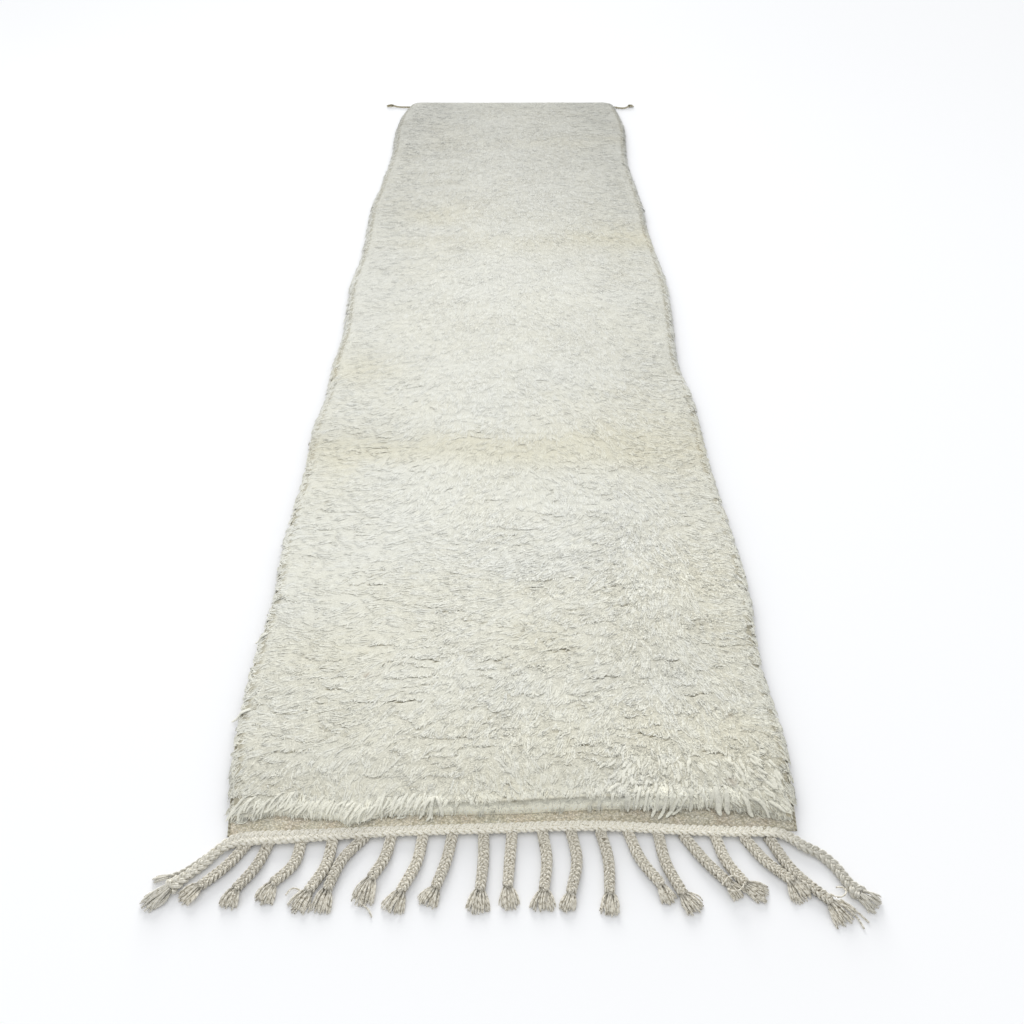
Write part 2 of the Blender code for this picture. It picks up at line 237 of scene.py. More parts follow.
def yarnWool(name, ramp, ply, plyPitch, speck, speckColour, speckShare, groovePart=0.55, deepest=0.55):
    # plied yarn: painted shade draws the ply's slanting grooves as fine dark diagonals, with darker hairs
    # spun in
    material, tree, shader = newWool(name)
    strand = addNode(tree, "ShaderNodeUVMap", uv_map="strand")
    tone, along = [addNode(tree, "ShaderNodeAttribute", attribute_name=part).outputs["Fac"]
                   for part in ("tone", "along")]
    place = addNode(tree, "ShaderNodeTexCoord").outputs["Object"]
    parts = addNode(tree, "ShaderNodeSeparateXYZ", {"Vector": strand})
    across = addNode(tree, "ShaderNodeMath", {0: parts.outputs["X"], 1: 2 * math.pi / ply},
        operation="MULTIPLY")
    wound = addNode(tree, "ShaderNodeMath", {0: parts.outputs["Y"], 1: 2 * math.pi / plyPitch,
        2: across}, operation="MULTIPLY_ADD")
    wave = addNode(tree, "ShaderNodeMath", {0: wound}, operation="SINE")
    groove = addNode(tree, "ShaderNodeMapRange", {"Value": wave, "From Min": -1.0, "From Max": 0.4})
    flecks = addNode(tree, "ShaderNodeTexNoise", {"Vector": place, "Scale": 1 / speck, "Detail": 2.0,
        "Roughness": 0.65})
    shadeFac = addNode(tree, "ShaderNodeMath", {0: groove, 1: groovePart, 2: flecks},
        operation="MULTIPLY_ADD")
    shadeIn = addNode(tree, "ShaderNodeMapRange", {"Value": shadeFac, "From Min": 0.3, "From Max": 1.15})
    shade = addNode(tree, "ShaderNodeValToRGB", {"Fac": shadeIn}, stops=ramp)
    hairs = addNode(tree, "ShaderNodeTexNoise", {"Vector": place, "Scale": 0.55 / speck, "Detail": 1.0})
    spots = addNode(tree, "ShaderNodeMapRange", {"Value": hairs, "From Min": speckShare,
        "From Max": speckShare + 0.05, "To Max": 0.85})
    speckled = addNode(tree, "ShaderNodeMix", {"Factor": spots, 6: shade, 7: speckColour},
        data_type="RGBA")
    # painted shade: darker where along is low, where a yarn dives under others or tucks under a neck
    outward = addNode(tree, "ShaderNodeMapRange", {"Value": along, "From Min": 0.0, "From Max": 0.45,
        "To Min": deepest, "To Max": 1.0})
    bright = addNode(tree, "ShaderNodeMath", {0: tone, 1: 0.07, 2: outward}, operation="MULTIPLY_ADD")
    final = addNode(tree, "ShaderNodeHueSaturation", {"Color": speckled.outputs[2], "Value": bright})
    bump = addNode(tree, "ShaderNodeBump", {"Height": shadeIn, "Strength": 0.5, "Distance": 0.0006})
    joinShader(tree, shader, final, bump)
    return material


def tubeGroup(paths, radii, sides, across=None, flat=1.0, chunks=1, capped=False, tone=None, warm=None,
              along=(0.0, 1.0), tilt=None, soften=0.0, stain=None, loose=None, depth=None):
    # tubes along paths (tube, ring, xyz). A tube ends in a point, or in a cap when capped.
    # With a tilt its normals only lean outward a little, as in soft wool that lets light through, and
    # soften turns them all toward the sky.
    paths = np.asarray(paths, float)
    count, rings, _ = paths.shape
    tangent = unit(np.gradient(paths, axis=1))
    if across is None:
        across = np.stack([-tangent[..., 1], tangent[..., 0], np.zeros_like(tangent[..., 0])], -1)
    else:
        across = np.broadcast_to(across[:, None, :], paths.shape)
    side = unit(across - tangent * (across * tangent).sum(-1, keepdims=True))
    up = np.cross(tangent, side)
    angle = 2 * math.pi * np.arange(sides) / sides + math.pi / 2
    radii = np.broadcast_to(radii, (count, rings))[..., None, None]
    flat = np.broadcast_to(flat, count)[:, None, None, None]
    loops = rings if capped else rings - 1
    ring = side[:, :, None] * np.cos(angle)[:, None] + flat * up[:, :, None] * np.sin(angle)[:, None]
    points = (paths[:, :, None] + radii * ring)[:, :loops].reshape(count, loops * sides, 3)
    normals = None
    if tilt is not None:
        up = up + soften * np.array([0.0, 0.0, 1.0])
        normals = side[:, :, None] * np.cos(angle)[:, None] * tilt + up[:, :, None]
        normals = unit(normals[:, :loops].reshape(count, loops * sides, 3))
    if not capped:
        points = np.concatenate([points, paths[:, -1:]], axis=1)
        if tilt is not None:
            normals = np.concatenate([normals, unit(up[:, -1:])], axis=1)
    share = np.linspace(0, 1, rings)
    pointAlong = np.repeat(share[:loops], sides)
    if not capped:
        pointAlong = np.append(pointAlong, 1.0)
    corners = []
    sizes = []
    cells = []  # per corner: chunk, place in the chunk's cell
    strand = []  # per corner: share round the tube, share of its length
    for row in range(loops - 1):
        chunk = row * chunks // (rings - 1)
        first = math.ceil(chunk * (rings - 1) / chunks)
        last = math.ceil((chunk + 1) * (rings - 1) / chunks)
        low = (row - first) / (last - first) * (0.9 if capped else 1.0)
        high = (row + 1 - first) / (last - first) * (0.9 if capped else 1.0)
        for k in range(sides):
            nxt = (k + 1) % sides
            corners += [row * sides + k, row * sides + nxt, (row + 1) * sides + nxt, (row + 1) * sides + k]
            sizes.append(4)
            u0 = k / sides
            u1 = (k + 1) / sides
            cells += [(chunk, u0, low), (chunk, u1, low), (chunk, u1, high), (chunk, u0, high)]
            strand += [(u0, share[row]), (u1, share[row]), (u1, share[row + 1]), (u0, share[row + 1])]
    lastRing = (loops - 1) * sides
    if capped:
        corners += [lastRing + k for k in range(sides)]
        sizes.append(sides)
        for k in range(sides):
            cells.append((chunks - 1, 0.5 + 0.3 * math.cos(angle[k]), 0.96 + 0.035 * math.sin(angle[k])))
            strand.append((k / sides, 1.0))
    else:
        chunk = chunks - 1
        first = math.ceil(chunk * (rings - 1) / chunks)
        low = (loops - 1 - first) / (rings - 1 - first)
        for k in range(sides):
            corners += [lastRing + k, lastRing + (k + 1) % sides, loops * sides]
            sizes.append(3)
            cells += [(chunk, k / sides, low), (chunk, (k + 1) / sides, low), (chunk, (k + 0.5) / sides, 1.0)]
            strand += [(k / sides, share[-2]), ((k + 1) / sides, share[-2]), ((k + 0.5) / sides, 1.0)]
    length = np.linalg.norm(np.diff(paths, axis=1), axis=-1).sum(1)
    girth = 2 * math.pi * radii[:, :, 0, 0].mean(1)
    zeros = np.zeros(count)
    if depth is None:
        low = np.broadcast_to(along[0], count)[:, None]
        high = np.broadcast_to(along[1], count)[:, None]
        depth = low + (high - low) * pointAlong
    return {
        "points": points, "corners": np.array(corners), "sizes": np.array(sizes),
        "cells": np.array(cells), "strand": np.array(strand), "chunks": chunks,
        "length": length, "girth": girth, "normals": normals,
        "along": depth,
        "tone": zeros if tone is None else tone, "warm": zeros if warm is None else warm,
        "stain": zeros if stain is None else stain, "loose": zeros if loose is None else loose,
    }


def meshFrom(name, groups, material, cellShape=1.0):
    # joins groups of tubes to one piece; each tube, or chunk of it, gets its own cell of the bake map
    total = sum(len(g["points"]) * g["chunks"] for g in groups)
    columns = math.ceil(math.sqrt(total * cellShape))
    rows = math.ceil(total / columns)
    points, corners, sizes, bake, strand, along = [[] for _ in range(6)]
    tints = {"tone": [], "warm": [], "stain": [], "loose": []}
    pointStart = 0
    cellStart = 0
    for number, g in enumerate(groups):
        count, each, _ = g["points"].shape
        points.append(g["points"].reshape(-1, 3))
        offset = pointStart + each * np.arange(count)
        corners.append((g["corners"] + offset[:, None]).ravel())
        sizes.append(np.tile(g["sizes"], count))
        cell = cellStart + np.arange(count)[:, None] * g["chunks"] + g["cells"][:, 0].astype(int)
        u = (cell % columns + 0.09 + 0.82 * g["cells"][:, 1]) / columns
        v = (cell // columns + 0.06 + 0.88 * g["cells"][:, 2]) / rows
        bake.append(np.stack([u, v], -1).reshape(-1, 2))
        shift = (np.arange(count) * 0.0137 + number * 0.0071)[:, None]
        across = g["strand"][:, 0] * g["girth"][:, None] + shift
        lengthwise = g["strand"][:, 1] * g["length"][:, None] + shift * 3
        strand.append(np.stack([across, lengthwise], -1).reshape(-1, 2))
        along.append(g["along"].ravel())
        for tint, values in tints.items():
            values.append(np.repeat(g[tint], each) if g[tint].ndim == 1 else g[tint].ravel())
        pointStart += count * each
        cellStart += count * g["chunks"]
    piece = pieceFromArrays(name, np.concatenate(points), np.concatenate(corners), np.concatenate(sizes),
                            {"OFBake": np.concatenate(bake), "strand": np.concatenate(strand)},
                            {"along": np.concatenate(along),
                             **{tint: np.concatenate(values) for tint, values in tints.items()}})
    if all(g["normals"] is not None for g in groups):
        normals = np.concatenate([g["normals"].reshape(-1, 3) for g in groups])
        piece.data.normals_split_custom_set_from_vertices(normals.tolist())
    return finishPiece(piece, material)


def pieceFromArrays(name, points, corners, sizes, maps, values):
    mesh = bpy.data.meshes.new(name)
    mesh.vertices.add(len(points))
    mesh.vertices.foreach_set("co", points.astype(np.float32).ravel())
    mesh.loops.add(len(corners))
    mesh.loops.foreach_set("vertex_index", corners.astype(np.int32))
    mesh.polygons.add(len(sizes))
    starts = np.concatenate([[0], np.cumsum(sizes)[:-1]])
    mesh.polygons.foreach_set("loop_start", starts.astype(np.int32))
    mesh.update(calc_edges=True)
    for mapName, places in maps.items():
        layer = mesh.uv_layers.new(name=mapName)
        layer.uv.foreach_set("vector", places.astype(np.float32).ravel())
    for valueName, numbers in values.items():
        attribute = mesh.attributes.new(valueName, "FLOAT", "POINT")
        attribute.data.foreach_set("value", numbers.astype(np.float32))
    mesh.shade_smooth()
    obj = bpy.data.objects.new(name, mesh)
    bpy.context.scene.collection.objects.link(obj)
    return obj


def finishPiece(obj, material):
    obj.data.materials.append(material)
    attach(obj, "root")
    triangles = sum(len(face.vertices) - 2 for face in obj.data.polygons)
    print(f"{obj.name}: {triangles} triangles")
    return obj


def wrappedSlab(name, stations, columns, inset, underside, top, material):
    # a closed slab of cloth, whose rows are loops round its section. top gives z at station and across.
    s, a = np.meshgrid(stations, columns, indexing="ij")
    x, y = clothPlace(s, a, inset)
    high = np.stack([x, y, top(s, a)], -1)
    low = np.stack([x, y, np.full_like(x, underside)], -1)[:, ::-1]
    rings = np.concatenate([high, low], axis=1)
    rows, around, _ = rings.shape
    i, j = np.meshgrid(np.arange(rows - 1), np.arange(around), indexing="ij")
    nxt = (j + 1) % around
    quads = np.stack([i * around + j, i * around + nxt, (i + 1) * around + nxt, (i + 1) * around + j], -1)
    count = len(columns)
    k = np.arange(count - 1)
    front = np.stack([k, 2 * count - 1 - k, 2 * count - 2 - k, k + 1], -1)
    back = (front + (rows - 1) * around)[:, ::-1]
    faces = np.concatenate([quads.reshape(-1, 4), front, back])
    points = rings.reshape(-1, 3)
    plan = points[faces.ravel()][:, :2]
    obj = pieceFromArrays(name, points, faces.ravel(), np.full(len(faces), 4), {"strand": plan}, {})
    return finishPiece(obj, material)


studio = {
    "lens": 35.156,
    "cameraAt": (0.0, -2.2845, 1.176),
    "lookDown": 39.146,  # degrees below the horizon
    "turn": -0.133,
    "floor": "#FBFBFC",
    "sky": 0.745,
    "skyTint": (0.975, 0.99, 1.0, 1.0),
    "softbox": 14.0,
    "softboxSize": (2.4, 3.2),
    "softboxAt": (-1.2, 0.3, 2.6),
    "softboxAim": (0.0, -0.5, 0.0),
    "lowSun": 3.0,
    "lowSunSpread": 26,
    "lowSunTurn": (-77, 0, 5),
}

scene = bpy.context.scene
scene.view_settings.view_transform = "Standard"

cameraData = bpy.data.cameras.new("camera")
cameraData.lens = studio["lens"]
cameraData.sensor_width = 36.0
camera = bpy.data.objects.new("camera", cameraData)
camera.location = studio["cameraAt"]
camera.rotation_euler = (math.radians(90 - studio["lookDown"]), 0, math.radians(studio["turn"]))
scene.collection.objects.link(camera)
scene.camera = camera

floorMesh = bpy.data.meshes.new("floor")
floorMesh.from_pydata([(-14, -10, 0), (14, -10, 0), (14, 18, 0), (-14, 18, 0)], [], [(0, 1, 2, 3)])
floor = bpy.data.objects.new("floor", floorMesh)
scene.collection.objects.link(floor)
floorPaint = bpy.data.materials.new("matt white studio floor")  # even and pale, so only shadows show
floorPaint.use_nodes = True
floorShader = floorPaint.node_tree.nodes["Principled BSDF"]
floorShader.inputs["Base Color"].default_value = linear(studio["floor"])
floorShader.inputs["Roughness"].default_value = 0.9
floorShader.inputs["Specular IOR Level"].default_value = 0.1
floorMesh.materials.append(floorPaint)

world = bpy.data.worlds.new("white studio")
world.use_nodes = True
world.node_tree.nodes["Background"].inputs["Color"].default_value = studio["skyTint"]
world.node_tree.nodes["Background"].inputs["Strength"].default_value = studio["sky"]
scene.world = world

softboxData = bpy.data.lights.new("softbox", "AREA")
softboxData.shape = "RECTANGLE"
softboxData.size, softboxData.size_y = studio["softboxSize"]
softboxData.energy = studio["softbox"]
softbox = bpy.data.objects.new("softbox", softboxData)
softbox.location = studio["softboxAt"]
softbox.rotation_mode = "QUATERNION"
towards = Vector(studio["softboxAim"]) - Vector(studio["softboxAt"])
softbox.rotation_quaternion = towards.to_track_quat("-Z", "Y")
scene.collection.objects.link(softbox)

# a low, broad light from behind, so that the cloth's soft shadow falls over the fringe
sunData = bpy.data.lights.new("low back light", "SUN")
sunData.energy = studio["lowSun"]
sunData.angle = math.radians(studio["lowSunSpread"])
sun = bpy.data.objects.new("low back light", sunData)
sun.rotation_euler = [math.radians(turn) for turn in studio["lowSunTurn"]]
scene.collection.objects.link(sun)
print("camera, floor and lights placed")

weaveStyle = {
    "column": 0.005,
    "bandRows": 0.0020,
    "bandEnd": 0.050,  # station where the bare band is well under the pile
    "rest": 36,
    "thread": 0.0026,  # spacing of the thick handspun wefts, which show as a fine grain
    "relief": 0.0003,
    "selvedgeRadius": 0.0021,
    "selvedgeWrap": 0.0065,  # one turn of the edge's wrapping yarn
}


def weaveTop(s, a):
    x, _ = clothPlace(s, a)
    grain = softNoise(x, s, weaveStyle["thread"] * 1.3, 11) * weaveStyle["relief"]
    puckers = softNoise(x, s, 0.05, 12) * 0.0003
    return cloth["weave"] + grain + puckers


def kilimWool():
    # flat-woven weft-faced band: coarse tan, olive, brown and rosy yarns packed tight, so a fine grain
    material, tree, shader = newWool("flat-woven tan wool", tint="#CBBFA0")
    place = addNode(tree, "ShaderNodeTexCoord").outputs["Object"]
    grit = addNode(tree, "ShaderNodeMapping", {"Vector": place, "Scale": (370, 430, 60)})  # knots of 2.5 mm
    cells = addNode(tree, "ShaderNodeTexVoronoi", {"Vector": grit, "Scale": 1.0})
    broad = addNode(tree, "ShaderNodeTexNoise", {"Vector": place, "Scale": 22.0, "Detail": 3.0})
    pick = addNode(tree, "ShaderNodeSeparateColor", {"Color": cells.outputs["Color"]})
    yarns = addNode(tree, "ShaderNodeValToRGB", {"Fac": pick.outputs["Red"]}, stops=[(0.0, "#8F8873"),
        (0.18, "#BDB6A1"), (0.42, "#D9D3C2"), (0.62, "#E8E3D6"), (0.8, "#C8BFA9"), (1.0, "#F6F2E8")])
    hue = addNode(tree, "ShaderNodeValToRGB", {"Fac": broad}, stops=[(0.3, "#D2D1BE"), (0.5, "#DBD1B8"),
        (0.68, "#D9C5B0")])
    colour = addNode(tree, "ShaderNodeMix", {"Factor": 0.4, 6: yarns, 7: hue}, data_type="RGBA")
    # painted light and shade: each knot is lighter on its crown and darker toward its edges
    crown = addNode(tree, "ShaderNodeMapRange", {"Value": cells.outputs["Distance"], "From Min": 0.0,
        "From Max": 0.7, "To Min": 1.0, "To Max": 0.0})
    # its right part is darker
    parts = addNode(tree, "ShaderNodeSeparateXYZ", {"Vector": place})
    least, most = [addNode(tree, "ShaderNodeMapRange", {"Value": parts.outputs["X"], "From Min": 0.05,
                                                        "From Max": 0.18, "To Min": left, "To Max": right})
                   for left, right in ((0.92, 0.76), (1.60, 1.34))]
    dim = addNode(tree, "ShaderNodeMapRange", {"Value": crown, "To Min": least, "To Max": most})
    final = addNode(tree, "ShaderNodeHueSaturation", {"Color": colour.outputs[2], "Value": dim})
    bump = addNode(tree, "ShaderNodeBump", {"Height": crown, "Strength": 0.8, "Distance": 0.0008})
    joinShader(tree, shader, final, bump)
    return material


bandRows = np.arange(cloth["weaveFront"], weaveStyle["bandEnd"], weaveStyle["bandRows"])
restRows = np.linspace(weaveStyle["bandEnd"], cloth["backEdge"], weaveStyle["rest"])
weaveColumns = np.linspace(-1, 1, int(cloth["width"] / weaveStyle["column"]))
kilim = kilimWool()
groundWeave = wrappedSlab("ground-weave", np.concatenate([bandRows, restRows]), weaveColumns,
                          cloth["selvedgeInset"], 0.0, weaveTop, kilim)
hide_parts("ground_weave")


def selvedgeCords():
    # the edge warps, overcast with grey-tan yarn: a thin cord with slanting wraps down both sides
    stations = np.arange(cloth["weaveFront"], cloth["backEdge"], weaveStyle["selvedgeWrap"] / 2.4)
    groups = []
    for across in (-1.0, 1.0):
        x, y = clothPlace(stations, np.full_like(stations, across), 0.0031)
        z = np.full_like(x, 0.0024)
        path = np.stack([x, y, z], -1)[None]
        turn = 2 * math.pi * stations / weaveStyle["selvedgeWrap"]
        radii = weaveStyle["selvedgeRadius"] * (1 + 0.12 * np.sin(turn))
        groups.append(tubeGroup(path, radii[None], 5, chunks=48, capped=True, along=(1.0, 1.0)))
    wool = yarnWool("overcast grey-tan wool", [(0.0, "#6E6855"), (0.45, "#A39C86"), (1.0, "#C6C0AC")],
                    0.013, weaveStyle["selvedgeWrap"], 0.004, "#5F594A", 0.62)
    return meshFrom("selvedge", groups, wool, cellShape=3.0)


selvedge = selvedgeCords()

pileStyle = {
    "front": 0.034,
    "backLean": 0.016,
    "height": 0.0245,
    "rim": 0.009,
    "round": 0.034,
    "swell": 0.0016,
    "rowNear": 0.0135,  # rows of knots, front and back
    "rowFar": 0.0190,
    "knotNear": 0.0088,
    "knotFar": 0.0138,
    "strands": 4,  # per knot
    "reachNear": 0.025,  # how far a lock lies forward of its knot
    "reachFar": 0.034,
    "thickNear": 0.0015,  # half the width of a strand
    "thickFar": 0.0021,
    "flatNear": 0.20,
    "flatFar": 0.12,
    "rootDepth": 0.0022,
    "underDepth": 0.0007,  # the matted wool lies this far under the strands' tops
    "crackDepth": 0.0022,
    "crackWidth": 0.0010,
    "tilt": 0.20,  # how far a strand's own roundness shows
    "lockLift": 0.00011,
    "strandLift": 0.00013,
    "ceiling": 0.0345,  # no wool stands higher
    "farFrom": 2.2,  # station from which the far settings hold
    "nearEnd": 1.15,
    "pieceEnds": [0.0, 0.42, 0.80, 1.15, 2.0, 3.1],
    # places of the rings along a strand, and how wide it is at each
    "nearRings": ([0, 0.25, 0.65, 1.0], [0.75, 1.0, 0.9, 0.0]),
    "farRings": ([0, 0.40, 1.0], [0.9, 1.0, 0.0]),
    "hemRings": ([0, 0.2, 0.45, 0.72, 1.0], [0.8, 1.0, 1.0, 0.8, 0.0]),
    # both ramps run from the darker roots at 0, partly painted shade deep in the fleece, to the bright tips
    # at 1
    "coolRamp": [(0.0, "#8F8A74"), (0.2, "#CFCDBF"), (0.45, "#ECECE3"), (1.0, "#F2F2EA")],
    "warmRamp": [(0.0, "#8E8162"), (0.2, "#D2CBB3"), (0.45, "#ECE9D6"), (1.0, "#F2EFDE")],
    "toneSpan": 0.035,
    "soften": 1.5,  # how much the wool's depth evens out the light over its hollows
    "crimpDark": -0.31,
    "crimpLight": 0.19,
    "gapWidth": 0.030,
    "gapDepth": 0.40,
    "stain": "#8E7256",
}

# how steeply the front face of the fleece rounds over: x, then the depth of the rounding
faceLine = np.array([(-0.140, 0.028), (-0.085, 0.009), (0.160, 0.007), (0.300, 0.022)])

# the hem: x, then the station that the front locks hang down to, in millimetres
hemLine = np.array([
    (-400, 36.5), (-371, 36.8), (-345, 38), (-328, 40.5), (-311, 40.8), (-290, 36.4), (-255, 31.9),
    (-236, 28.6), (-228, 27.5), (-222, 20.3), (-205, 23), (-187, 26.7), (-182, 31.6), (-160, 32.2),
    (-127, 32.4), (-90, 31.0), (-40, 30.2), (13, 29.8), (53, 30.5), (131, 34.4), (160, 36.5), (230, 40.5),
    (265, 44.3), (290, 41.8), (330, 38.4), (362, 30.9), (400, 28.4),
])

# which way the brushed pile lies: x and station in metres, then degrees from straight forward,
# to the right if above zero
layLine = np.array([
    (-0.38, 0.06, -40), (-0.25, 0.06, -10), (0.0, 0.06, 0), (0.25, 0.06, 10), (0.37, 0.08, 48),
    (-0.38, 0.20, -80), (-0.25, 0.20, -70), (-0.05, 0.22, -35), (0.16, 0.20, -32), (0.30, 0.18, 20),
    (0.37, 0.20, 65),
    (-0.36, 0.45, -85), (-0.15, 0.50, -75), (0.00, 0.45, -66), (0.12, 0.50, -62), (0.25, 0.45, 10),
    (0.36, 0.45, 70),
    (-0.37, 0.80, -75), (-0.10, 0.80, -20), (0.10, 0.80, 15), (0.36, 0.80, 70),
    (-0.37, 1.30, -70), (-0.15, 1.30, -12), (0.15, 1.30, 12), (0.36, 1.30, 70),
    (-0.37, 2.20, -70), (-0.15, 2.20, -5), (0.15, 2.20, 8), (0.36, 2.20, 70),
    (-0.36, 2.95, -75), (-0.10, 2.90, -5), (0.10, 2.90, 5), (0.36, 2.95, 75),
    (-0.36, 3.05, -140), (-0.10, 3.06, -178), (0.10, 3.06, 178), (0.36, 3.05, 140),
])

# how loose and curly the fleece is: x and station in metres, then 0 for dense and smooth
looseLine = np.array([
    (-0.35, 0.08, 0.95), (0.00, 0.08, 1.05), (0.35, 0.08, 1.25), (-0.30, 0.25, 0.75), (0.00, 0.25, 0.95),
    (0.30, 0.25, 1.20), (-0.28, 0.48, 0.35), (0.00, 0.48, 0.85), (0.25, 0.48, 1.30), (-0.20, 0.78, 0.40),
    (0.08, 0.78, 0.50), (0.30, 0.78, 0.85), (0.00, 1.40, 0.70), (-0.20, 2.60, 1.00), (0.20, 2.60, 1.00),
])

# the deepest partings: x and station of the middle, length, slant in degrees
partings = np.array([
    (-0.100, 0.405, 0.055, 2), (-0.060, 0.385, 0.050, -8), (-0.210, 0.330, 0.040, 4),
    (-0.130, 0.300, 0.060, -6), (-0.020, 0.300, 0.045, 10), (0.080, 0.320, 0.050, 4),
    (-0.260, 0.240, 0.045, -10), (-0.160, 0.215, 0.060, 4), (0.020, 0.225, 0.055, -3),
    (0.140, 0.262, 0.050, 8), (0.240, 0.300, 0.045, -6), (-0.080, 0.145, 0.055, 3),
    (0.200, 0.150, 0.060, -12), (0.290, 0.120, 0.055, -18), (0.110, 0.130, 0.045, 6),
    (-0.300, 0.130, 0.040, 4), (0.060, 0.480, 0.040, 8), (-0.230, 0.470, 0.045, -5),
    (0.180, 0.420, 0.050, 12), (0.280, 0.230, 0.045, 10),
])

# yellower bands and patches left by the wool: x, station, half width, half length, strength
abrash = np.array([
    (0.00, 0.865, 0.60, 0.050, 0.95), (-0.33, 0.800, 0.05, 0.080, 0.35), (0.05, 1.830, 0.60, 0.060, 0.50),
    (-0.20, 2.020, 0.11, 0.070, 0.75), (0.32, 1.860, 0.12, 0.080, 0.70), (-0.32, 1.170, 0.09, 0.060, 0.65),
    (0.15, 2.620, 0.40, 0.060, 0.35), (-0.30, 0.330, 0.12, 0.070, 0.45), (0.00, 0.150, 0.45, 0.090, 0.35),
    (0.30, 0.130, 0.12, 0.060, 0.45), (0.02, 0.340, 0.12, 0.060, 0.40), (0.34, 0.600, 0.08, 0.500, 0.35),
    (0.26, 0.900, 0.12, 0.100, 0.35), (-0.05, 0.450, 0.30, 0.050, 0.25),
])

# stained spots: x, distance behind the front edge's datum, radius, strength
stains = np.array([
    (0.258, 0.036, 0.0030, 0.85), (0.267, 0.033, 0.0025, 0.80), (0.303, 0.0746, 0.0060, 0.40),
    (0.320, 0.189, 0.0050, 0.30), (-0.350, 0.026, 0.0050, 0.50), (-0.218, 0.268, 0.0035, 0.50),
    (-0.205, 0.265, 0.0030, 0.55),
])

# separate locks that hang over the hem on the right: root x and y, tip x and y from the front edge's
# datum, half width
fingers = np.array([
    (0.1768, 0.0667, 0.1689, 0.0417, 0.0030), (0.1883, 0.0610, 0.1806, 0.0394, 0.0027),
    (0.2011, 0.0587, 0.1893, 0.0298, 0.0034), (0.2117, 0.0532, 0.1980, 0.0273, 0.0032),
    (0.2290, 0.0508, 0.2090, 0.0298, 0.0034), (0.2411, 0.0532, 0.2175, 0.0338, 0.0030),
    (0.2783, 0.0667, 0.2834, 0.0314, 0.0055), (0.2939, 0.0610, 0.2951, 0.0338, 0.0050),
    (0.3132, 0.0532, 0.3272, 0.0298, 0.0045), (0.3262, 0.0508, 0.3497, 0.0286, 0.0042),
    (0.3478, 0.0452, 0.3699, 0.0314, 0.0038),
])

# loose locks that stray over the hem and the left side: root x and station, tip x and station
strays = np.array([
    (-0.104, 0.046, -0.1235, 0.0243), (-0.105, 0.046, -0.1140, 0.0200), (-0.102, 0.048, -0.1060, 0.0225),
    (-0.100, 0.047, -0.0905, 0.0270), (-0.380, 0.206, -0.4120, 0.1980), (-0.385, 0.358, -0.4080, 0.3520),
])

# where the side locks are worn short and the selvedge shows: side, first and last station
wornSides = [(-1, 0.128, 0.185), (1, 0.138, 0.172), (1, 0.028, 0.085)]


def pileSurface(station, across, frontRound):
    # height of the tips, as the solid has it, and falling away to the floor just outside its rim
    fromSide = (1 - np.abs(across)) * cloth["width"] / 2
    fromFront = station - pileStyle["front"]
    fromBack = cloth["backEdge"] + pileStyle["backLean"] - station
    full = 1.0
    for distance, depth in ((fromSide, pileStyle["round"]), (fromFront, frontRound),
                            (fromBack, pileStyle["round"])):
        share = np.clip(distance / depth, 0, 1)
        full = full * np.sqrt(1 - (1 - share) ** 2)
    outside = np.minimum(np.minimum(fromSide, fromBack), 0) * 0.6 + np.minimum(fromFront, 0) * 2.0
    swell = np.sin(9.7 * station + 1.9 * across) + 0.6 * np.sin(23.1 * station - 3.4 * across + 1.0)
    height = pileStyle["height"] + pileStyle["swell"] * swell / 1.6
    return np.maximum(pileStyle["rim"] + (height - pileStyle["rim"]) * full + outside, 0.0035)


def byDistance(setting, far):
    # a pile setting between its near and far values
    return pileStyle[setting + "Near"] * (1 - far) + pileStyle[setting + "Far"] * far


def hemAt(x):
    return mm * np.interp(np.asarray(x) * 1000, hemLine[:, 0], hemLine[:, 1])


def furrows(x, station):
    # low folds and hollows a few centimetres apart, longer across the rug than along it
    folds = softNoise(x, station * 2.2, 0.060, 61) * 0.0006 + softNoise(x, station * 1.7, 0.024, 62) * 0.0003
    return folds * (1 - 0.6 * np.clip(station / 1.6, 0, 1))


def pileTop(x, station):
    # height of the fleece at a place, whose front face follows the ragged hem
    left, right = clothSides(np.clip(station, 0, cloth["length"]))
    shift = (hemAt(x) - pileStyle["front"]) * np.clip(1 - (station - pileStyle["front"]) / 0.06, 0, 1)
    frontRound = np.interp(x, faceLine[:, 0], faceLine[:, 1])
    across = 2 * (x - left) / (right - left) - 1
    return pileSurface(station - shift, across, frontRound) + furrows(x, station)


def nearness(table, x, station):
    # how much each row of a table, which starts with x and station, weighs at each place
    dx = (x[:, None] - table[:, 0]) / 0.10
    ds = (station[:, None] - table[:, 1]) / 0.22
    weight = 1 / (0.05 + dx**2 + ds**2) ** 2
    return weight / weight.sum(1, keepdims=True)


def looseness(x, station):
    found = (nearness(looseLine, x, station) * looseLine[:, 2]).sum(1)
    return found * (1 + 0.35 * softNoise(x, station * 1.6, 0.06, 71)) * np.clip(station / 0.06, 0.6, 1)


def layOf(x, station):
    # unit direction in which the pile lies, blended from the table and stirred a little
    heading = np.radians(layLine[:, 2])
    weight = nearness(layLine, x, station)
    lay = np.stack([(weight * np.sin(heading)).sum(1), -(weight * np.cos(heading)).sum(1)], -1)
    return turned(unit(lay), 20 * softNoise(x, station, 0.075, 21) + 12 * softNoise(x, station, 0.030, 22))


def turned(directions, degrees):
    turn = np.radians(degrees)
    return np.stack([directions[:, 0] * np.cos(turn) - directions[:, 1] * np.sin(turn),
                     directions[:, 0] * np.sin(turn) + directions[:, 1] * np.cos(turn)], -1)


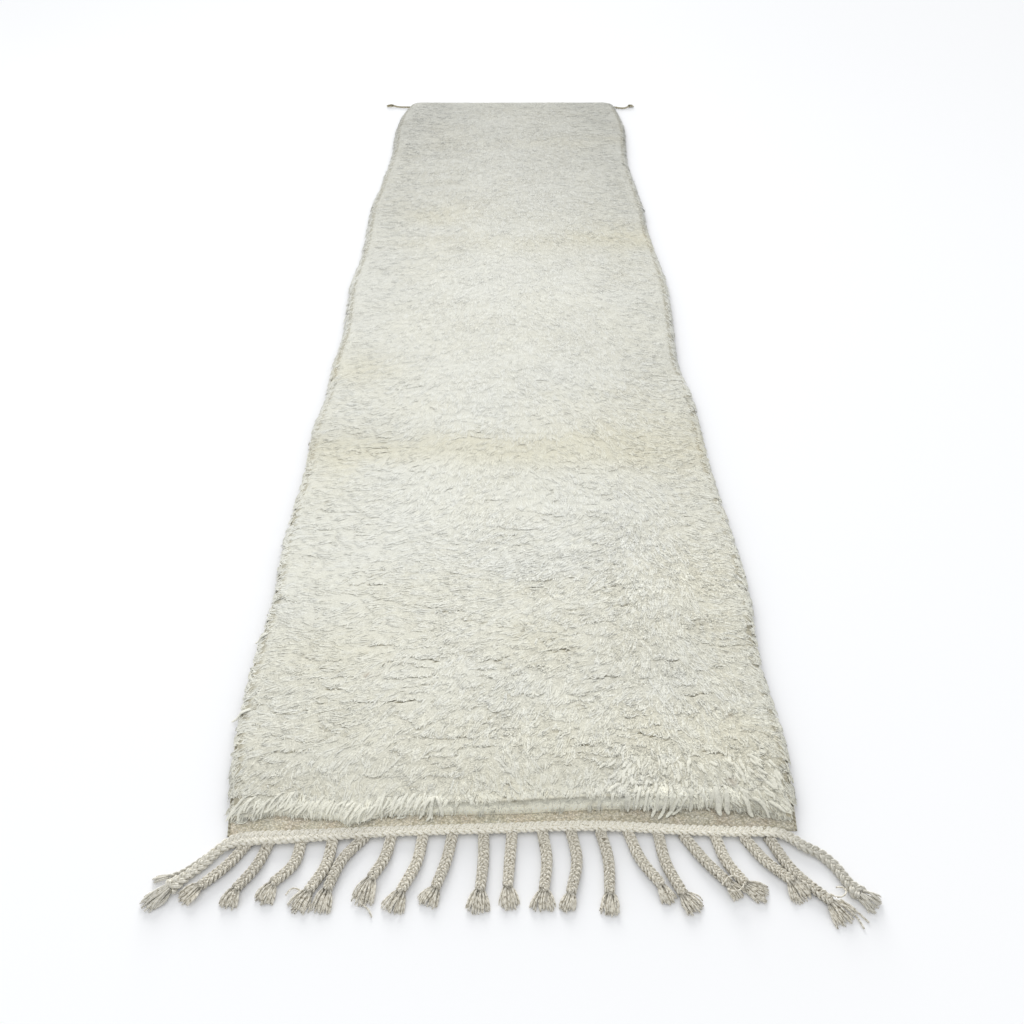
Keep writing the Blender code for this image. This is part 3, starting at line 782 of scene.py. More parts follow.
def warmth(x, station):
    # 0 for cool white wool, 1 for the yellowest
    total = 0.22 - 0.18 * np.clip((station - 1.0) / 0.6, 0, 1) + 0.30 * np.clip(1.4 - station / 0.09, 0, 1)
    total = total - 0.10 * np.exp(-((station - 0.75) / 0.15) ** 2) * np.clip(1 - x / 0.2, 0, 1)
    total = total - 0.10 * np.exp(-((station - 0.13) / 0.05) ** 2) * np.clip(x / 0.15, 0, 1)
    total = total + 0.12 * np.clip(1.6 - station / 0.05, 0, 1)
    total = total + 0.16 * softNoise(x, station, 0.16, 31) + 0.10 * softNoise(x, station, 0.05, 32)
    ragged = 0.25 * softNoise(x, station, 0.035, 33)
    wavy = 0.012 * softNoise(x, 0 * x, 0.09, 34)
    for px, ps, halfX, halfS, strength in abrash:
        reach = ((x - px) / halfX) ** 2 + ((station - ps - wavy) / halfS) ** 2
        total = total + strength * np.exp(-reach * (1 + ragged))
    return np.clip(total, 0, 1)


def paintedShadeTone(x, station):
    # painted shade in the tone: darker toward both ends and the right side, where less light falls, with a
    # darker band near station 0.88; lighter near the front edge and in two patches on the right
    front = -0.6 * np.clip(1 - station / 0.45, 0, 1) - 2.4 * np.exp(-((station - 0.085) / 0.035) ** 2)
    front = front + 2.2 * np.clip(1 - (station - 0.03) / 0.02, 0, 1)
    right = -1.5 * np.clip((x + 0.05) / 0.35, 0, 1) - 0.9 * np.clip((-x - 0.10) / 0.15, 0, 1)
    right = right + 1.0 * np.exp(-((x - 0.22) / 0.12) ** 2 - ((station - 0.15) / 0.09) ** 2)
    right = right + 1.6 * np.exp(-((x - 0.25) / 0.16) ** 2 - ((station - 0.52) / 0.12) ** 2)
    band = -1.8 * np.exp(-((station - 0.88) / 0.045) ** 2) * np.clip(1 - x / 0.3, 0, 1)
    back = -1.5 * np.clip((station - 0.70) / 0.20, 0, 1) - 6.7 * np.clip((station - 1.5) / 1.4, 0, 1)
    return front + right + band + back + 0.3


def seamField(x, station):
    # its zero lines are the wavy seams between locks, which run mostly across the rug
    return softNoise(x, station * 2.4, 0.040, 63) + 0.45 * softNoise(x, station * 2.0, 0.018, 64)


def seamGapes(x, station):
    # the seams gape where it is above zero
    return softNoise(x, station, 0.030, 65) - 0.75 * np.clip((station - 0.3) / 1.1, 0, 1)


def alongParting(parting, x, station):
    # place along a parting's line, and signed distance from it
    px, ps, _, slant = parting
    c = math.cos(math.radians(slant))
    s = math.sin(math.radians(slant))
    lengthwise = c * (x - px) + s * (station - ps)
    wavy = 0.0022 * np.sin(lengthwise * 240 + px * 90) + 0.0012 * np.sin(lengthwise * 610 + ps * 70)
    return lengthwise, -s * (x - px) + c * (station - ps) - wavy


def crackAt(x, station):
    # 1 in the middle of a parting or a gaping seam, 0 away from it
    step = 0.0005
    value = seamField(x, station)
    slope = np.hypot(seamField(x + step, station) - value, seamField(x, station + step) - value) / step
    away = value / np.maximum(slope, 4.0)
    found = 0.5 * np.exp(-(away / pileStyle["crackWidth"]) ** 2) * np.clip(seamGapes(x, station) * 3, 0, 1)
    for parting in partings:
        lengthwise, away = alongParting(parting, x, station)
        ends = np.clip(1.6 - 2 * np.abs(lengthwise) / parting[2] * 1.2, 0, 1)
        found = np.maximum(found, ends * np.exp(-(away / pileStyle["crackWidth"]) ** 2))
    return found


def stopAtCracks(root, tip):
    # a lock that would lie across a parting or a gaping seam stops at it instead
    scale = np.ones(len(root))
    startStation = clothStation(root[:, 0], root[:, 1])
    step = tip - root
    before = seamField(root[:, 0], startStation)
    sides = [alongParting(parting, root[:, 0], startStation)[1] for parting in partings]
    for share in np.linspace(0.12, 1.0, 9):
        x = root[:, 0] + step[:, 0] * share
        station = startStation + step[:, 1] * share
        stops = (before * seamField(x, station) < 0) & (seamGapes(x, station) > 0.05)
        for parting, side in zip(partings, sides):
            lengthwise, away = alongParting(parting, x, station)
            stops = stops | ((side * away < 0) & (np.abs(lengthwise) < parting[2] * 0.45))
        scale[stops & (scale == 1)] = share - 0.06
    return root + step * np.clip(scale, 0.22, 1)[:, None]


def knotRows(rng):
    # rows of knots from hem to back: x and station, closer together near the front
    found = []
    station = pileStyle["front"] + 0.006
    while station < cloth["backEdge"] - 0.002:
        far = min(station / pileStyle["farFrom"], 1.0)
        row = byDistance("row", far)
        count = round(cloth["width"] / byDistance("knot", far))
        across = (np.arange(count) + 0.5) / count * 2 - 1 + rng.uniform(-0.5, 0.5, count) / count
        wave = 0.25 * row * softNoise(across * 0.4, np.full(count, station), 0.05, 41)
        found.append(np.stack([station + wave + rng.uniform(-0.3, 0.3, count) * row, across], -1))
        station += row
    knots = np.concatenate(found)
    x, _ = clothPlace(knots[:, 0], np.clip(knots[:, 1], -0.98, 0.98))
    station = np.minimum(knots[:, 0], cloth["backEdge"] - 0.002)
    inside = station > hemAt(x) + 0.012
    return x[inside], station[inside]


def placeOnCloth(x, station):
    # plan place of a point given by x and station
    return np.stack([x, cloth["frontY"] + station + bendLeft(station) * frontLine(x)], -1)


def fieldLocks(rng):
    x, station = knotRows(rng)
    count = len(x)
    root = placeOnCloth(x, station)
    lay = turned(layOf(x, station), rng.normal(0, 12, count))
    far = np.minimum(station / pileStyle["farFrom"], 1.0)
    tip = root + lay * (byDistance("reach", far) * rng.uniform(0.72, 1.28, count))[:, None]
    # no tip passes the outline, the back edge's overhang or the hem
    tipStation = clothStation(tip[:, 0], tip[:, 1])
    left, right = clothSides(np.clip(tipStation, 0, cloth["length"]))
    tip[:, 0] = np.clip(tip[:, 0], left + 0.001, right - 0.001)
    tip[:, 1] += np.maximum(hemAt(tip[:, 0]) + 0.004 - tipStation, 0)
    over = tipStation - (cloth["backEdge"] + 0.012 + rng.uniform(-0.002, 0.002, count))
    tip[:, 1] -= np.maximum(over, 0)
    # painted shade: over the open front face the locks darken toward their tips
    brow = np.clip((x + 0.10) / 0.04, 0, 1) * np.clip((0.17 - x) / 0.04, 0, 1)
    return {
        "root": root, "tip": tip, "half": byDistance("knot", far) * 0.62,
        "gather": rng.uniform(0.1, 0.55, count), "far": far,
        "lift": rng.normal(0, pileStyle["lockLift"], count), "droop": np.full(count, 0.0005),
        # painted shade: strands start darker in partings and gaping seams
        "low": np.clip(0.45 - 0.45 * crackAt(x, station), 0, 1), "top": np.ones(count),
        "paintedTipLight": -5.5 * brow * np.clip(1 - (station - 0.042) / 0.018, 0, 1),
    }


def hemLocks(rng):
    # two rows of pointed locks side by side that hang down over the front
    left, right = clothSides(0.030)
    x = np.arange(left + 0.004, right - 0.004, 0.0048)
    behind = np.repeat([0.0, 1.0], len(x))
    x = np.tile(x, 2) + 0.0024 * behind
    x = x + rng.uniform(-0.0022, 0.0022, len(x))
    # its cut face stays open between the soft left part and the long locks on the right
    shadedFace = np.clip((x + 0.10) / 0.08, 0, 1) * np.clip((0.19 - x) / 0.05, 0, 1)
    kept = rng.uniform(0, 1, len(x)) > 0.80 * shadedFace
    x, behind, shadedFace = x[kept], behind[kept], shadedFace[kept]
    count = len(x)
    hang = rng.normal(0, 0.0007, count) - 0.002 * (rng.uniform(0, 1, count) > 0.95) + 0.004 * behind
    tip = placeOnCloth(x, hemAt(x) - 0.0035 + hang)
    lay = turned(layOf(x, np.full(count, 0.05)), rng.normal(0, 11, count))
    root = tip - lay * rng.uniform(0.017, 0.025, count)[:, None]
    root[:, 0] = np.clip(root[:, 0], left + 0.008, right - 0.008)
    return {
        "root": root, "tip": tip, "half": rng.uniform(0.0030, 0.0050, count),
        "gather": rng.uniform(0.5, 0.9, count), "far": np.zeros(count), "lift": rng.normal(0, 0.0004, count),
        "droop": rng.uniform(0.001, 0.003, count) * (1 - 0.6 * behind), "low": np.full(count, 0.60),
        # painted shade darkens the tips over the open face; painted light brightens the other hem locks, most
        # toward their tips
        "top": 0.80 - 0.20 * shadedFace + rng.normal(0, 0.08, count),
        "light": rng.normal(2.4, 0.8, count) * (1 - 1.6 * shadedFace), "paintedTipLight": 9.0 - 4.0 * shadedFace,
    }


def sideLocks(rng):
    # locks that hang over both sides, with the selvedge dark between their points
    roots, tips, stations = [], [], []
    for side in (-1, 1):
        station = 0.046
        while station < cloth["backEdge"] - 0.01:
            worn = any(side == s and a < station < b for s, a, b in wornSides)
            left, right = clothSides(station)
            edge = left if side < 0 else right
            out = rng.normal(0.0002, 0.0014) - (0.011 if worn else 0)
            lean = math.radians(rng.normal(20, 9))
            reach = rng.uniform(0.020, 0.030)
            tipX = edge + side * out
            tips.append(placeOnCloth(tipX, station))
            roots.append(tips[-1] - reach * np.array([side * math.cos(lean), -math.sin(lean)]))
            stations.append(station)
            station += (0.0088 + 0.0045 * min(station / pileStyle["farFrom"], 1)) * rng.uniform(0.7, 1.4)
    stations = np.array(stations)
    count = len(stations)
    return {
        "root": np.array(roots), "tip": np.array(tips), "half": rng.uniform(0.0035, 0.0060, count),
        "gather": rng.uniform(0.75, 1.0, count), "far": np.minimum(stations / pileStyle["farFrom"], 1.0),
        "lift": rng.normal(0, 0.0008, count), "droop": rng.uniform(0.003, 0.006, count),
        "low": np.full(count, 0.22), "top": np.ones(count),
    }


def strandsOf(locks, each, rng, stopping=True):
    # each lock's strands start side by side at its knot and draw together toward its tip
    count = len(locks["root"])
    x = locks["root"][:, 0]
    station = clothStation(x, locks["root"][:, 1])
    # painted shade and light in the tone: darker toward the ends and the right side, brighter hem locks
    tone = rng.normal(0, 0.25, count) + 0.4 * softNoise(x, station, 0.09, 66) + paintedShadeTone(x, station)
    tone = tone + locks.get("light", 0.0)
    warm = warmth(x, station) + rng.normal(0, 0.09, count)
    locks = dict(locks, tone=tone, warm=warm, station=station, paintedTipLight=locks.get("paintedTipLight", np.zeros(count)))
    strands = {key: np.repeat(value, each, axis=0) for key, value in locks.items()}
    total = count * each
    lay = unit(strands["tip"] - strands["root"])
    sideways = np.stack([-lay[:, 1], lay[:, 0]], -1)
    place = (np.tile(np.arange(each), count) + 0.5 + rng.uniform(-0.3, 0.3, total)) / each * 2 - 1
    spread = place * strands["half"]
    root = strands["root"] + sideways * spread[:, None] + lay * rng.uniform(-0.005, 0.005, (total, 1))
    ends = spread * (1 - strands["gather"]) + rng.normal(0, 0.0012, total)
    tip = strands["tip"] + sideways * ends[:, None]
    tip = root + (tip - root) * rng.uniform(0.84, 1.06, (total, 1))
    strands.update(
        root=root,
        tip=stopAtCracks(root, tip) if stopping else tip,
        sideways=sideways,
        curl=rng.normal(0, 0.0021, total),
        radius=byDistance("thick", strands["far"]) * rng.uniform(0.7, 1.25, total),
        lift=strands["lift"] + rng.normal(0, pileStyle["strandLift"], total),
        tone=strands["tone"] + rng.normal(0, 0.4, total),
        # how dark the painted shade lines beside it are
        edge=np.where(rng.uniform(0, 1, total) < 0.45, 1.0, 0.25) * (1 - 0.5 * strands["far"]),
        warm=np.clip(strands["warm"] + rng.normal(0, 0.07, total), 0, 1))
    return strands


def stainAt(place):
    found = np.zeros(len(place))
    for x, y, radius, strength in stains:
        away = np.hypot(place[:, 0] - x, place[:, 1] - y - cloth["frontY"])
        found = np.maximum(found, strength * np.exp(-(away / radius) ** 2))
    return found


def strandTubes(strands, pick, shares, thick):
    # tubes that rise from the knot and then lie along the top of the fleece
    t = np.asarray(shares)
    chosen = {key: value[pick] for key, value in strands.items()}
    step = chosen["tip"] - chosen["root"]
    plan = chosen["root"][:, None] + step[:, None] * t[:, None]
    bend = chosen["curl"][:, None] * np.sin(math.pi * 1.35 * t)
    plan = plan + chosen["sideways"][:, None] * bend[..., None]
    at = clothStation(plan[..., 0], plan[..., 1])
    z = pileTop(plan[..., 0], at) + chosen["lift"][:, None] - pileStyle["rootDepth"] * (1 - t) ** 3
    z = z - chosen["droop"][:, None] * t**2.2
    left, right = clothSides(np.clip(at, 0, cloth["length"]))
    onWeave = (plan[..., 0] > left + 0.001) & (plan[..., 0] < right - 0.001) & (at > 0.014)
    lowest = np.where(onWeave, cloth["weave"] + 0.0010, 0.0012)
    paths = np.concatenate([plan, np.clip(z, lowest, pileStyle["ceiling"])[..., None]], -1)
    across = np.concatenate([chosen["sideways"], np.zeros((len(pick), 1))], axis=1)
    # painted shade shows between strands: the two low edges of a tube are darker, most in its middle
    depth = chosen["low"][:, None] + (chosen["top"] - chosen["low"])[:, None] * t
    dark = chosen["edge"][:, None] * np.sin(math.pi * np.clip(0.15 + 0.85 * t, 0, 1))
    depth = np.stack([depth, depth * (1 - dark), depth * (1 - dark)], -1)[:, :-1].reshape(len(pick), -1)
    depth = np.append(depth, chosen["top"][:, None], axis=1)
    tone = chosen["tone"][:, None] + chosen["paintedTipLight"][:, None] * np.append(np.repeat(t[:-1], 3), 1.0)
    return tubeGroup(paths, chosen["radius"][:, None] * np.array(thick), 3, across=across,
                     flat=byDistance("flat", chosen["far"]), tone=tone, warm=chosen["warm"],
                     depth=depth, tilt=pileStyle["tilt"], soften=pileStyle["soften"],
                     stain=stainAt(plan[:, 1:].mean(1)),
                     loose=looseness(plan[:, 1:, 0].mean(1), at[:, 1:].mean(1)))


wholeStyle = {
    # each kind's lift off the fleece, and how much painted light brightens the whole lock and its tip, or
    # painted shade darkens it below zero
    "finger": (0.0016, 0.0, 5.0),
    "stray": (0.0026, 2.5, 2.0),
    "point": (0.0003, 0.3, 8.5),
    "curl": (-0.0004, -0.6, 1.0),
    "fingerWidth": 0.78,
    "strayHalf": 0.0024,
    "pointsFrom": -0.384,
    "pointsTo": -0.112,
    "pointStep": 0.0050,
    "curls": 80,
}


def wholeLocks(rng):
    # locks that hold together as one rounded body each: the long ones on the right and the strays,
    # soft points along the left of the hem, and short curls that break up the right corner
    datum = np.array([0.0, cloth["frontY"]])
    hemX = np.arange(wholeStyle["pointsFrom"], wholeStyle["pointsTo"], wholeStyle["pointStep"])
    hemX = hemX + rng.uniform(-0.0015, 0.0015, len(hemX))
    slant = rng.normal(0.013, 0.005, len(hemX))
    curls = wholeStyle["curls"]
    curlX = rng.uniform(0.13, 0.365, curls)
    curlAt = rng.uniform(0.048, 0.125, curls)
    curlRoot = placeOnCloth(curlX, curlAt)
    curlLay = turned(layOf(curlX, curlAt), rng.normal(0, 16, curls))
    kinds = [
        (fingers[:, 0:2] + datum, fingers[:, 2:4] + datum, fingers[:, 4] * wholeStyle["fingerWidth"],
         wholeStyle["finger"]),
        (placeOnCloth(strays[:, 0], strays[:, 1]), placeOnCloth(strays[:, 2], strays[:, 3]),
         np.full(len(strays), wholeStyle["strayHalf"]), wholeStyle["stray"]),
        (placeOnCloth(hemX + slant, hemAt(hemX) + rng.uniform(0.007, 0.028, len(hemX))),
         placeOnCloth(hemX, hemAt(hemX) - rng.normal(0.0005, 0.0016, len(hemX))),
         rng.uniform(0.0012, 0.0026, len(hemX)), wholeStyle["point"]),
        (curlRoot, curlRoot + curlLay * rng.uniform(0.013, 0.022, (curls, 1)),
         rng.uniform(0.0018, 0.0028, curls), wholeStyle["curl"]),
    ]
    t = np.array([0, 0.12, 0.30, 0.50, 0.72, 0.92, 1.0])
    groups = []
    for root, tip, half, (lift, light, paintedTipLight) in kinds:
        count = len(root)
        step = tip - root
        sideways = unit(np.stack([-step[:, 1], step[:, 0]], -1))
        bend = rng.normal(0, 0.0015, count)[:, None] * np.sin(math.pi * t)
        plan = root[:, None] + step[:, None] * t[:, None] + sideways[:, None] * bend[..., None]
        at = clothStation(plan[..., 0], plan[..., 1])
        z = pileTop(plan[..., 0], at) + lift * np.sin(math.pi * np.minimum(0.1 + t, 1) ** 0.8)
        z = np.maximum(z - 0.002 * (1 - t) ** 3, cloth["weave"] + 0.0008 + half[:, None] * 0.6)
        paths = np.concatenate([plan, np.minimum(z, pileStyle["ceiling"])[..., None]], -1)
        # the underside of a lock is in shade, and so is its root
        around = np.array([1.0, 0.90, 0.42, 0.22, 0.42, 0.90])
        depth = (around * np.clip(0.85 + t[:-1, None], 0, 1)).ravel()
        x, station = root[:, 0], clothStation(root[:, 0], root[:, 1])
        tone = paintedShadeTone(x, station) + light + rng.normal(0, 0.4, count)
        tone = tone[:, None] + paintedTipLight * np.append(np.repeat(t[:-1], 6), 1.0)
        groups.append(tubeGroup(paths, half[:, None] * np.array([0.4, 0.8, 1.0, 1.0, 0.95, 0.7, 0.0]), 6,
                                flat=0.7, tone=tone, warm=np.clip(warmth(x, station) + 0.08, 0, 1),
                                depth=np.tile(np.append(depth, 1.0), (count, 1)), tilt=0.5,
                                soften=0.8, loose=np.full(count, 0.5)))
    return groups


def growPile(wool):
    rng = np.random.default_rng(5)
    field = strandsOf(fieldLocks(rng), pileStyle["strands"], rng)
    sides = strandsOf(sideLocks(rng), 5, rng)
    front = strandsOf(hemLocks(rng), 6, rng, stopping=False)
    ends = pileStyle["pieceEnds"]
    pieces = []
    for number, (start, end) in enumerate(zip(ends, ends[1:])):
        groups = []
        for strands in (field, sides):
            pick = np.flatnonzero((strands["station"] >= start) & (strands["station"] < end))
            fine = end <= pileStyle["nearEnd"] or strands is sides
            groups.append(strandTubes(strands, pick, *pileStyle["nearRings" if fine else "farRings"]))
        if number == 0:
            pick = np.arange(len(front["root"]))
            groups.append(strandTubes(front, pick, *pileStyle["hemRings"]))
            groups += wholeLocks(rng)
        pieces.append(meshFrom(f"pile-locks-{number + 1}", groups, wool))
    return pieces


# the fleece's cut front face, by the distance behind the hem
faceStyle = {
    "steep": 0.013,  # it stays open where the fleece rounds over in less than this
    "top": 0.0085,
    "middle": 0.0045,
    "foot": 0.0048,
    "cut": 0.0080,
    "browHalf": 0.0014,
}


def layUnderwool(material):
    # the matted wool under the strands: a sheet whose outermost points stand on the weave
    front = pileStyle["front"] + np.array([0.0, 0.0003, 0.0008, 0.0018, 0.0035, 0.0060, 0.0090, 0.0120,
                                           0.0150, 0.0180])
    near = np.arange(pileStyle["front"] + 0.0210, pileStyle["nearEnd"], 0.0030)
    rest = np.linspace(pileStyle["nearEnd"], cloth["backEdge"] - 0.003, 230)
    stations = np.concatenate([front, near, rest, [cloth["backEdge"] - 0.0028]])
    columns = np.concatenate([[-1], np.linspace(-0.9995, 0.9995, 118), [1]])
    s, a = np.meshgrid(stations, columns, indexing="ij")
    x, y = clothPlace(s, a, 0.009)
    forward = (hemAt(x) - pileStyle["front"]) * np.clip(1 - (s - pileStyle["front"]) / 0.06, 0, 1)
    y = y + forward
    station = s + forward
    crack = crackAt(x, station)
    z = pileTop(x, station) - pileStyle["underDepth"] - pileStyle["crackDepth"] * crack
    z = np.maximum(z, cloth["weave"] + 0.0012)
    z[[0, -1]] = cloth["weave"] + 0.0004
    z[:, [0, -1]] = cloth["weave"] + 0.0004
    # darker where the fleece lies loose; painted shade over the upper part and top edge of its cut front
    # face, at its foot and within 10 mm of the sides
    loose = looseness(x.ravel(), station.ravel()).reshape(x.shape)
    behind = station - hemAt(x)
    ragged = softNoise(x, station, 0.006, 73)
    along = 0.42 - 0.10 * np.clip(loose - 0.25, 0, 1) * (1 + 0.4 * softNoise(x, station, 0.012, 74))
    along = np.where((1 - np.abs(a)) * cloth["width"] / 2 < 0.010, 0.13, along)
    face = np.interp(x, faceLine[:, 0], faceLine[:, 1]) < faceStyle["steep"]
    along = np.where(face & (behind < faceStyle["top"]), 0.34 + 0.05 * ragged, along)
    along = np.where(face & (behind < faceStyle["middle"]), 0.46 + 0.05 * ragged, along)
    brow = np.exp(-((behind - faceStyle["cut"]) / faceStyle["browHalf"]) ** 2) * np.clip(0.6 + ragged, 0, 1)
    along = np.where(face, along * (1 - 0.55 * brow), along)
    along = np.where(behind < 0.0001, 0.30, along)
    cut = face & (behind < faceStyle["cut"])
    loose = np.where(cut, 0.8, loose)
    rows, count = z.shape
    i, j = np.meshgrid(np.arange(rows - 1), np.arange(count - 1), indexing="ij")
    faces = np.stack([i * count + j, i * count + j + 1, (i + 1) * count + j + 1, (i + 1) * count + j], -1)
    faces = faces.reshape(-1, 4)
    points = np.stack([x, y, z], -1).reshape(-1, 3)
    bake = np.stack([(a + 1) / 2, (s - stations[0]) / (stations[-1] - stations[0])], -1).reshape(-1, 2)
    # each face's streaks run the way the pile lies there
    middle = points[faces].mean(1)
    lay = layOf(middle[:, 0], clothStation(middle[:, 0], middle[:, 1]))
    off = points[faces][:, :, :2] - middle[:, None, :2]
    across = off[..., 0] * -lay[:, None, 1] + off[..., 1] * lay[:, None, 0]
    lengthwise = off[..., 0] * lay[:, None, 0] + off[..., 1] * lay[:, None, 1]
    jump = np.random.default_rng(72).uniform(0, 9, (len(faces), 1, 2))
    streaks = np.stack([across, lengthwise], -1) + jump
    low = np.clip(1 - behind / faceStyle["foot"], 0, 1)
    # painted shade darkens the cut face and the cracks, and painted light brightens the face's foot
    tone = paintedShadeTone(x, station) - 10.0 * cut + (9 + 12 * cut) * low
    values = {"along": (along * (1 - crack)).ravel(), "warm": (warmth(x, station) + 0.05 * cut).ravel(),
              "tone": tone.ravel(), "stain": stainAt(points), "loose": loose.ravel()}
    piece = pieceFromArrays("pile-underwool", points, faces.ravel(), np.full(len(faces), 4),
                            {"OFBake": 0.01 + 0.98 * bake[faces.ravel()], "strand": streaks.reshape(-1, 2)},
                            values)
    facing = np.empty(len(points) * 3, np.float32)
    piece.data.vertex_normals.foreach_get("vector", facing)
    facing = unit(facing.reshape(-1, 3) + pileStyle["soften"] * np.array([0.0, 0.0, 1.0]))
    piece.data.normals_split_custom_set_from_vertices(facing.tolist())
    finishPiece(piece, material)
    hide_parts("pile")
    return piece


ivoryWool = pileWool()
pileLocks = growPile(ivoryWool)
pileBase = layUnderwool(ivoryWool)

cordStyle = {
    "width": 0.0143,
    "height": 0.008,
    "left": -0.356,
    "right": 0.356,
    "lift": 0.0023,  # it lies on the strip of warp ends
    "yarnRadius": 0.0019,
    "pitch": 0.027,  # one strand's full round
    "step": 0.0025,
}

# plan place in millimetres, y from the cloth's front edge, then width and height; tip first
leftTail = [(-458, -95, 17, 5), (-447, -85, 26, 8), (-434, -71, 22, 10), (-417, -55, 14, 9),
            (-399, -37, 15, 8), (-380, -15, 15, 8)]
rightTail = [(460, -97, 20, 5), (451, -91, 28, 8), (441, -82, 24, 10), (431, -67, 15, 9),
             (419, -42, 15, 8), (404, -24, 15, 8), (386, -14, 15, 8)]
leftStrand = [(-461, -58, 9, 3), (-451, -57, 15, 5), (-439, -54, 9, 5), (-422, -45, 6, 5),
              (-404, -29, 6, 5), (-386, -12, 6, 5)]
backLeftTail = [(-451, 3074, 8, 5), (-443, 3073, 17, 9), (-430, 3070, 15, 10), (-415, 3063, 7, 7),
                (-396, 3058, 7, 7)]
backRightTail = [(458, 3074, 9, 5), (450, 3067, 18, 9), (439, 3057, 15, 10), (425, 3047, 6, 6),
                 (406, 3045, 7, 7)]


def inMetres(stops):
    table = np.array(stops, float) * mm
    table[:, 1] += cloth["frontY"]
    return table


def evenPath(stops, step):
    # rows of evenly spaced values along the smooth path through the stops (first three are x, y, z)
    stops = np.asarray(stops, float)
    places = np.arange(len(stops))
    fine = np.linspace(0, len(stops) - 1, len(stops) * 24)
    table = np.stack([smoothCurve(places, column, fine) for column in stops.T], -1)
    run = np.concatenate([[0], np.cumsum(np.linalg.norm(np.diff(table[:, :3], axis=0), axis=1))])
    count = max(int(run[-1] / step) + 1, 4)
    even = np.linspace(0, run[-1], count)
    return np.stack([np.interp(even, run, column) for column in table.T], -1), even


def levelFrame(path):
    tangent = unit(np.gradient(path, axis=0))
    side = unit(np.stack([-tangent[:, 1], tangent[:, 0], np.zeros(len(path))], -1))
    return side, np.cross(tangent, side)


def twistedPlies(path, run, width, height, plies, pitch, ply, phase=0.0):
    # plies that wind round the path inside an oval of that width and height
    side, up = levelFrame(path)
    up = up * np.sign(up[:, 2:3])
    found = []
    for k in range(plies):
        angle = 2 * math.pi * (run / pitch + k / plies) + phase
        out = side * (np.cos(angle) * (width / 2 - ply))[:, None]
        high = up * (np.sin(angle) * (height / 2 - ply))[:, None]
        found.append(path + out + high)
    return np.array(found)


def yarnTuft(neck, along, length, spread, count, rng, tone, startHeight=0.0055, radius=0.0014,
             bunch=0.0045, rootDepth=0.1):
    # cut yarn ends that fan out flat on the floor from a plait's neck; tone is its mean and its spread
    along = np.asarray(along, float) / np.linalg.norm(along)
    side = np.array([-along[1], along[0]])
    share = (np.arange(count) + 0.5) / count * 2 - 1 + rng.uniform(-0.35, 0.35, count) / count
    share = rng.permutation(share)
    t = np.linspace(0, 1, 8)
    fan = t**0.85 * (1.45 - 0.45 * t)
    reach = length * (1.05 - 0.16 * share**2) * rng.uniform(0.84, 1.08, count)
    sway = rng.normal(0, 0.0009, (count, 1)) * np.sin(math.pi * t * 1.6 + rng.uniform(0, 3, (count, 1)))
    lateral = share[:, None] * (bunch + (spread / 2 * 0.9 - bunch) * fan) + sway
    layer = (np.arange(count) % 3)[:, None] / 2
    high = radius + (startHeight * 1.1 - radius) * (0.25 + 0.75 * layer)
    low = radius * (1.0 + 1.2 * layer)
    z = high * (1 - t) ** 0.7 + low * t + 0.0012 * np.sin(math.pi * t)
    flatPath = np.asarray(neck)[None, None] + along * (reach[:, None] * t)[..., None]
    flatPath = flatPath + side * lateral[..., None]
    paths = np.concatenate([flatPath, np.maximum(z, radius * 0.9)[..., None]], -1)
    swell = np.array([0.8, 1.0, 1.08, 1.1, 1.1, 1.05, 0.95, 0.7])
    radii = radius * swell * rng.uniform(0.85, 1.15, (count, 1))
    # painted shade: each yarn is darker toward its root, where it tucks under the neck
    return tubeGroup(paths, radii, 5, capped=True, tone=rng.normal(*tone, count), along=(rootDepth, 1.0))


creamWool = yarnWool("plied cream wool", [(0.0, "#C8C3B2"), (0.4, "#EBE7DB"), (1.0, "#F8F5ED")],
                     0.006, 0.007, 0.0030, "#9A9078", 0.71, groovePart=0.20, deepest=0.90)
plaitWool = yarnWool("speckled grey-beige warp yarn", [(0.0, "#958E7E"), (0.4, "#D3CDBE"),
                                                       (1.0, "#F0ECE1")],
                     0.0055, 0.008, 0.0024, "#857B69", 0.66, groovePart=0.40, deepest=0.50)


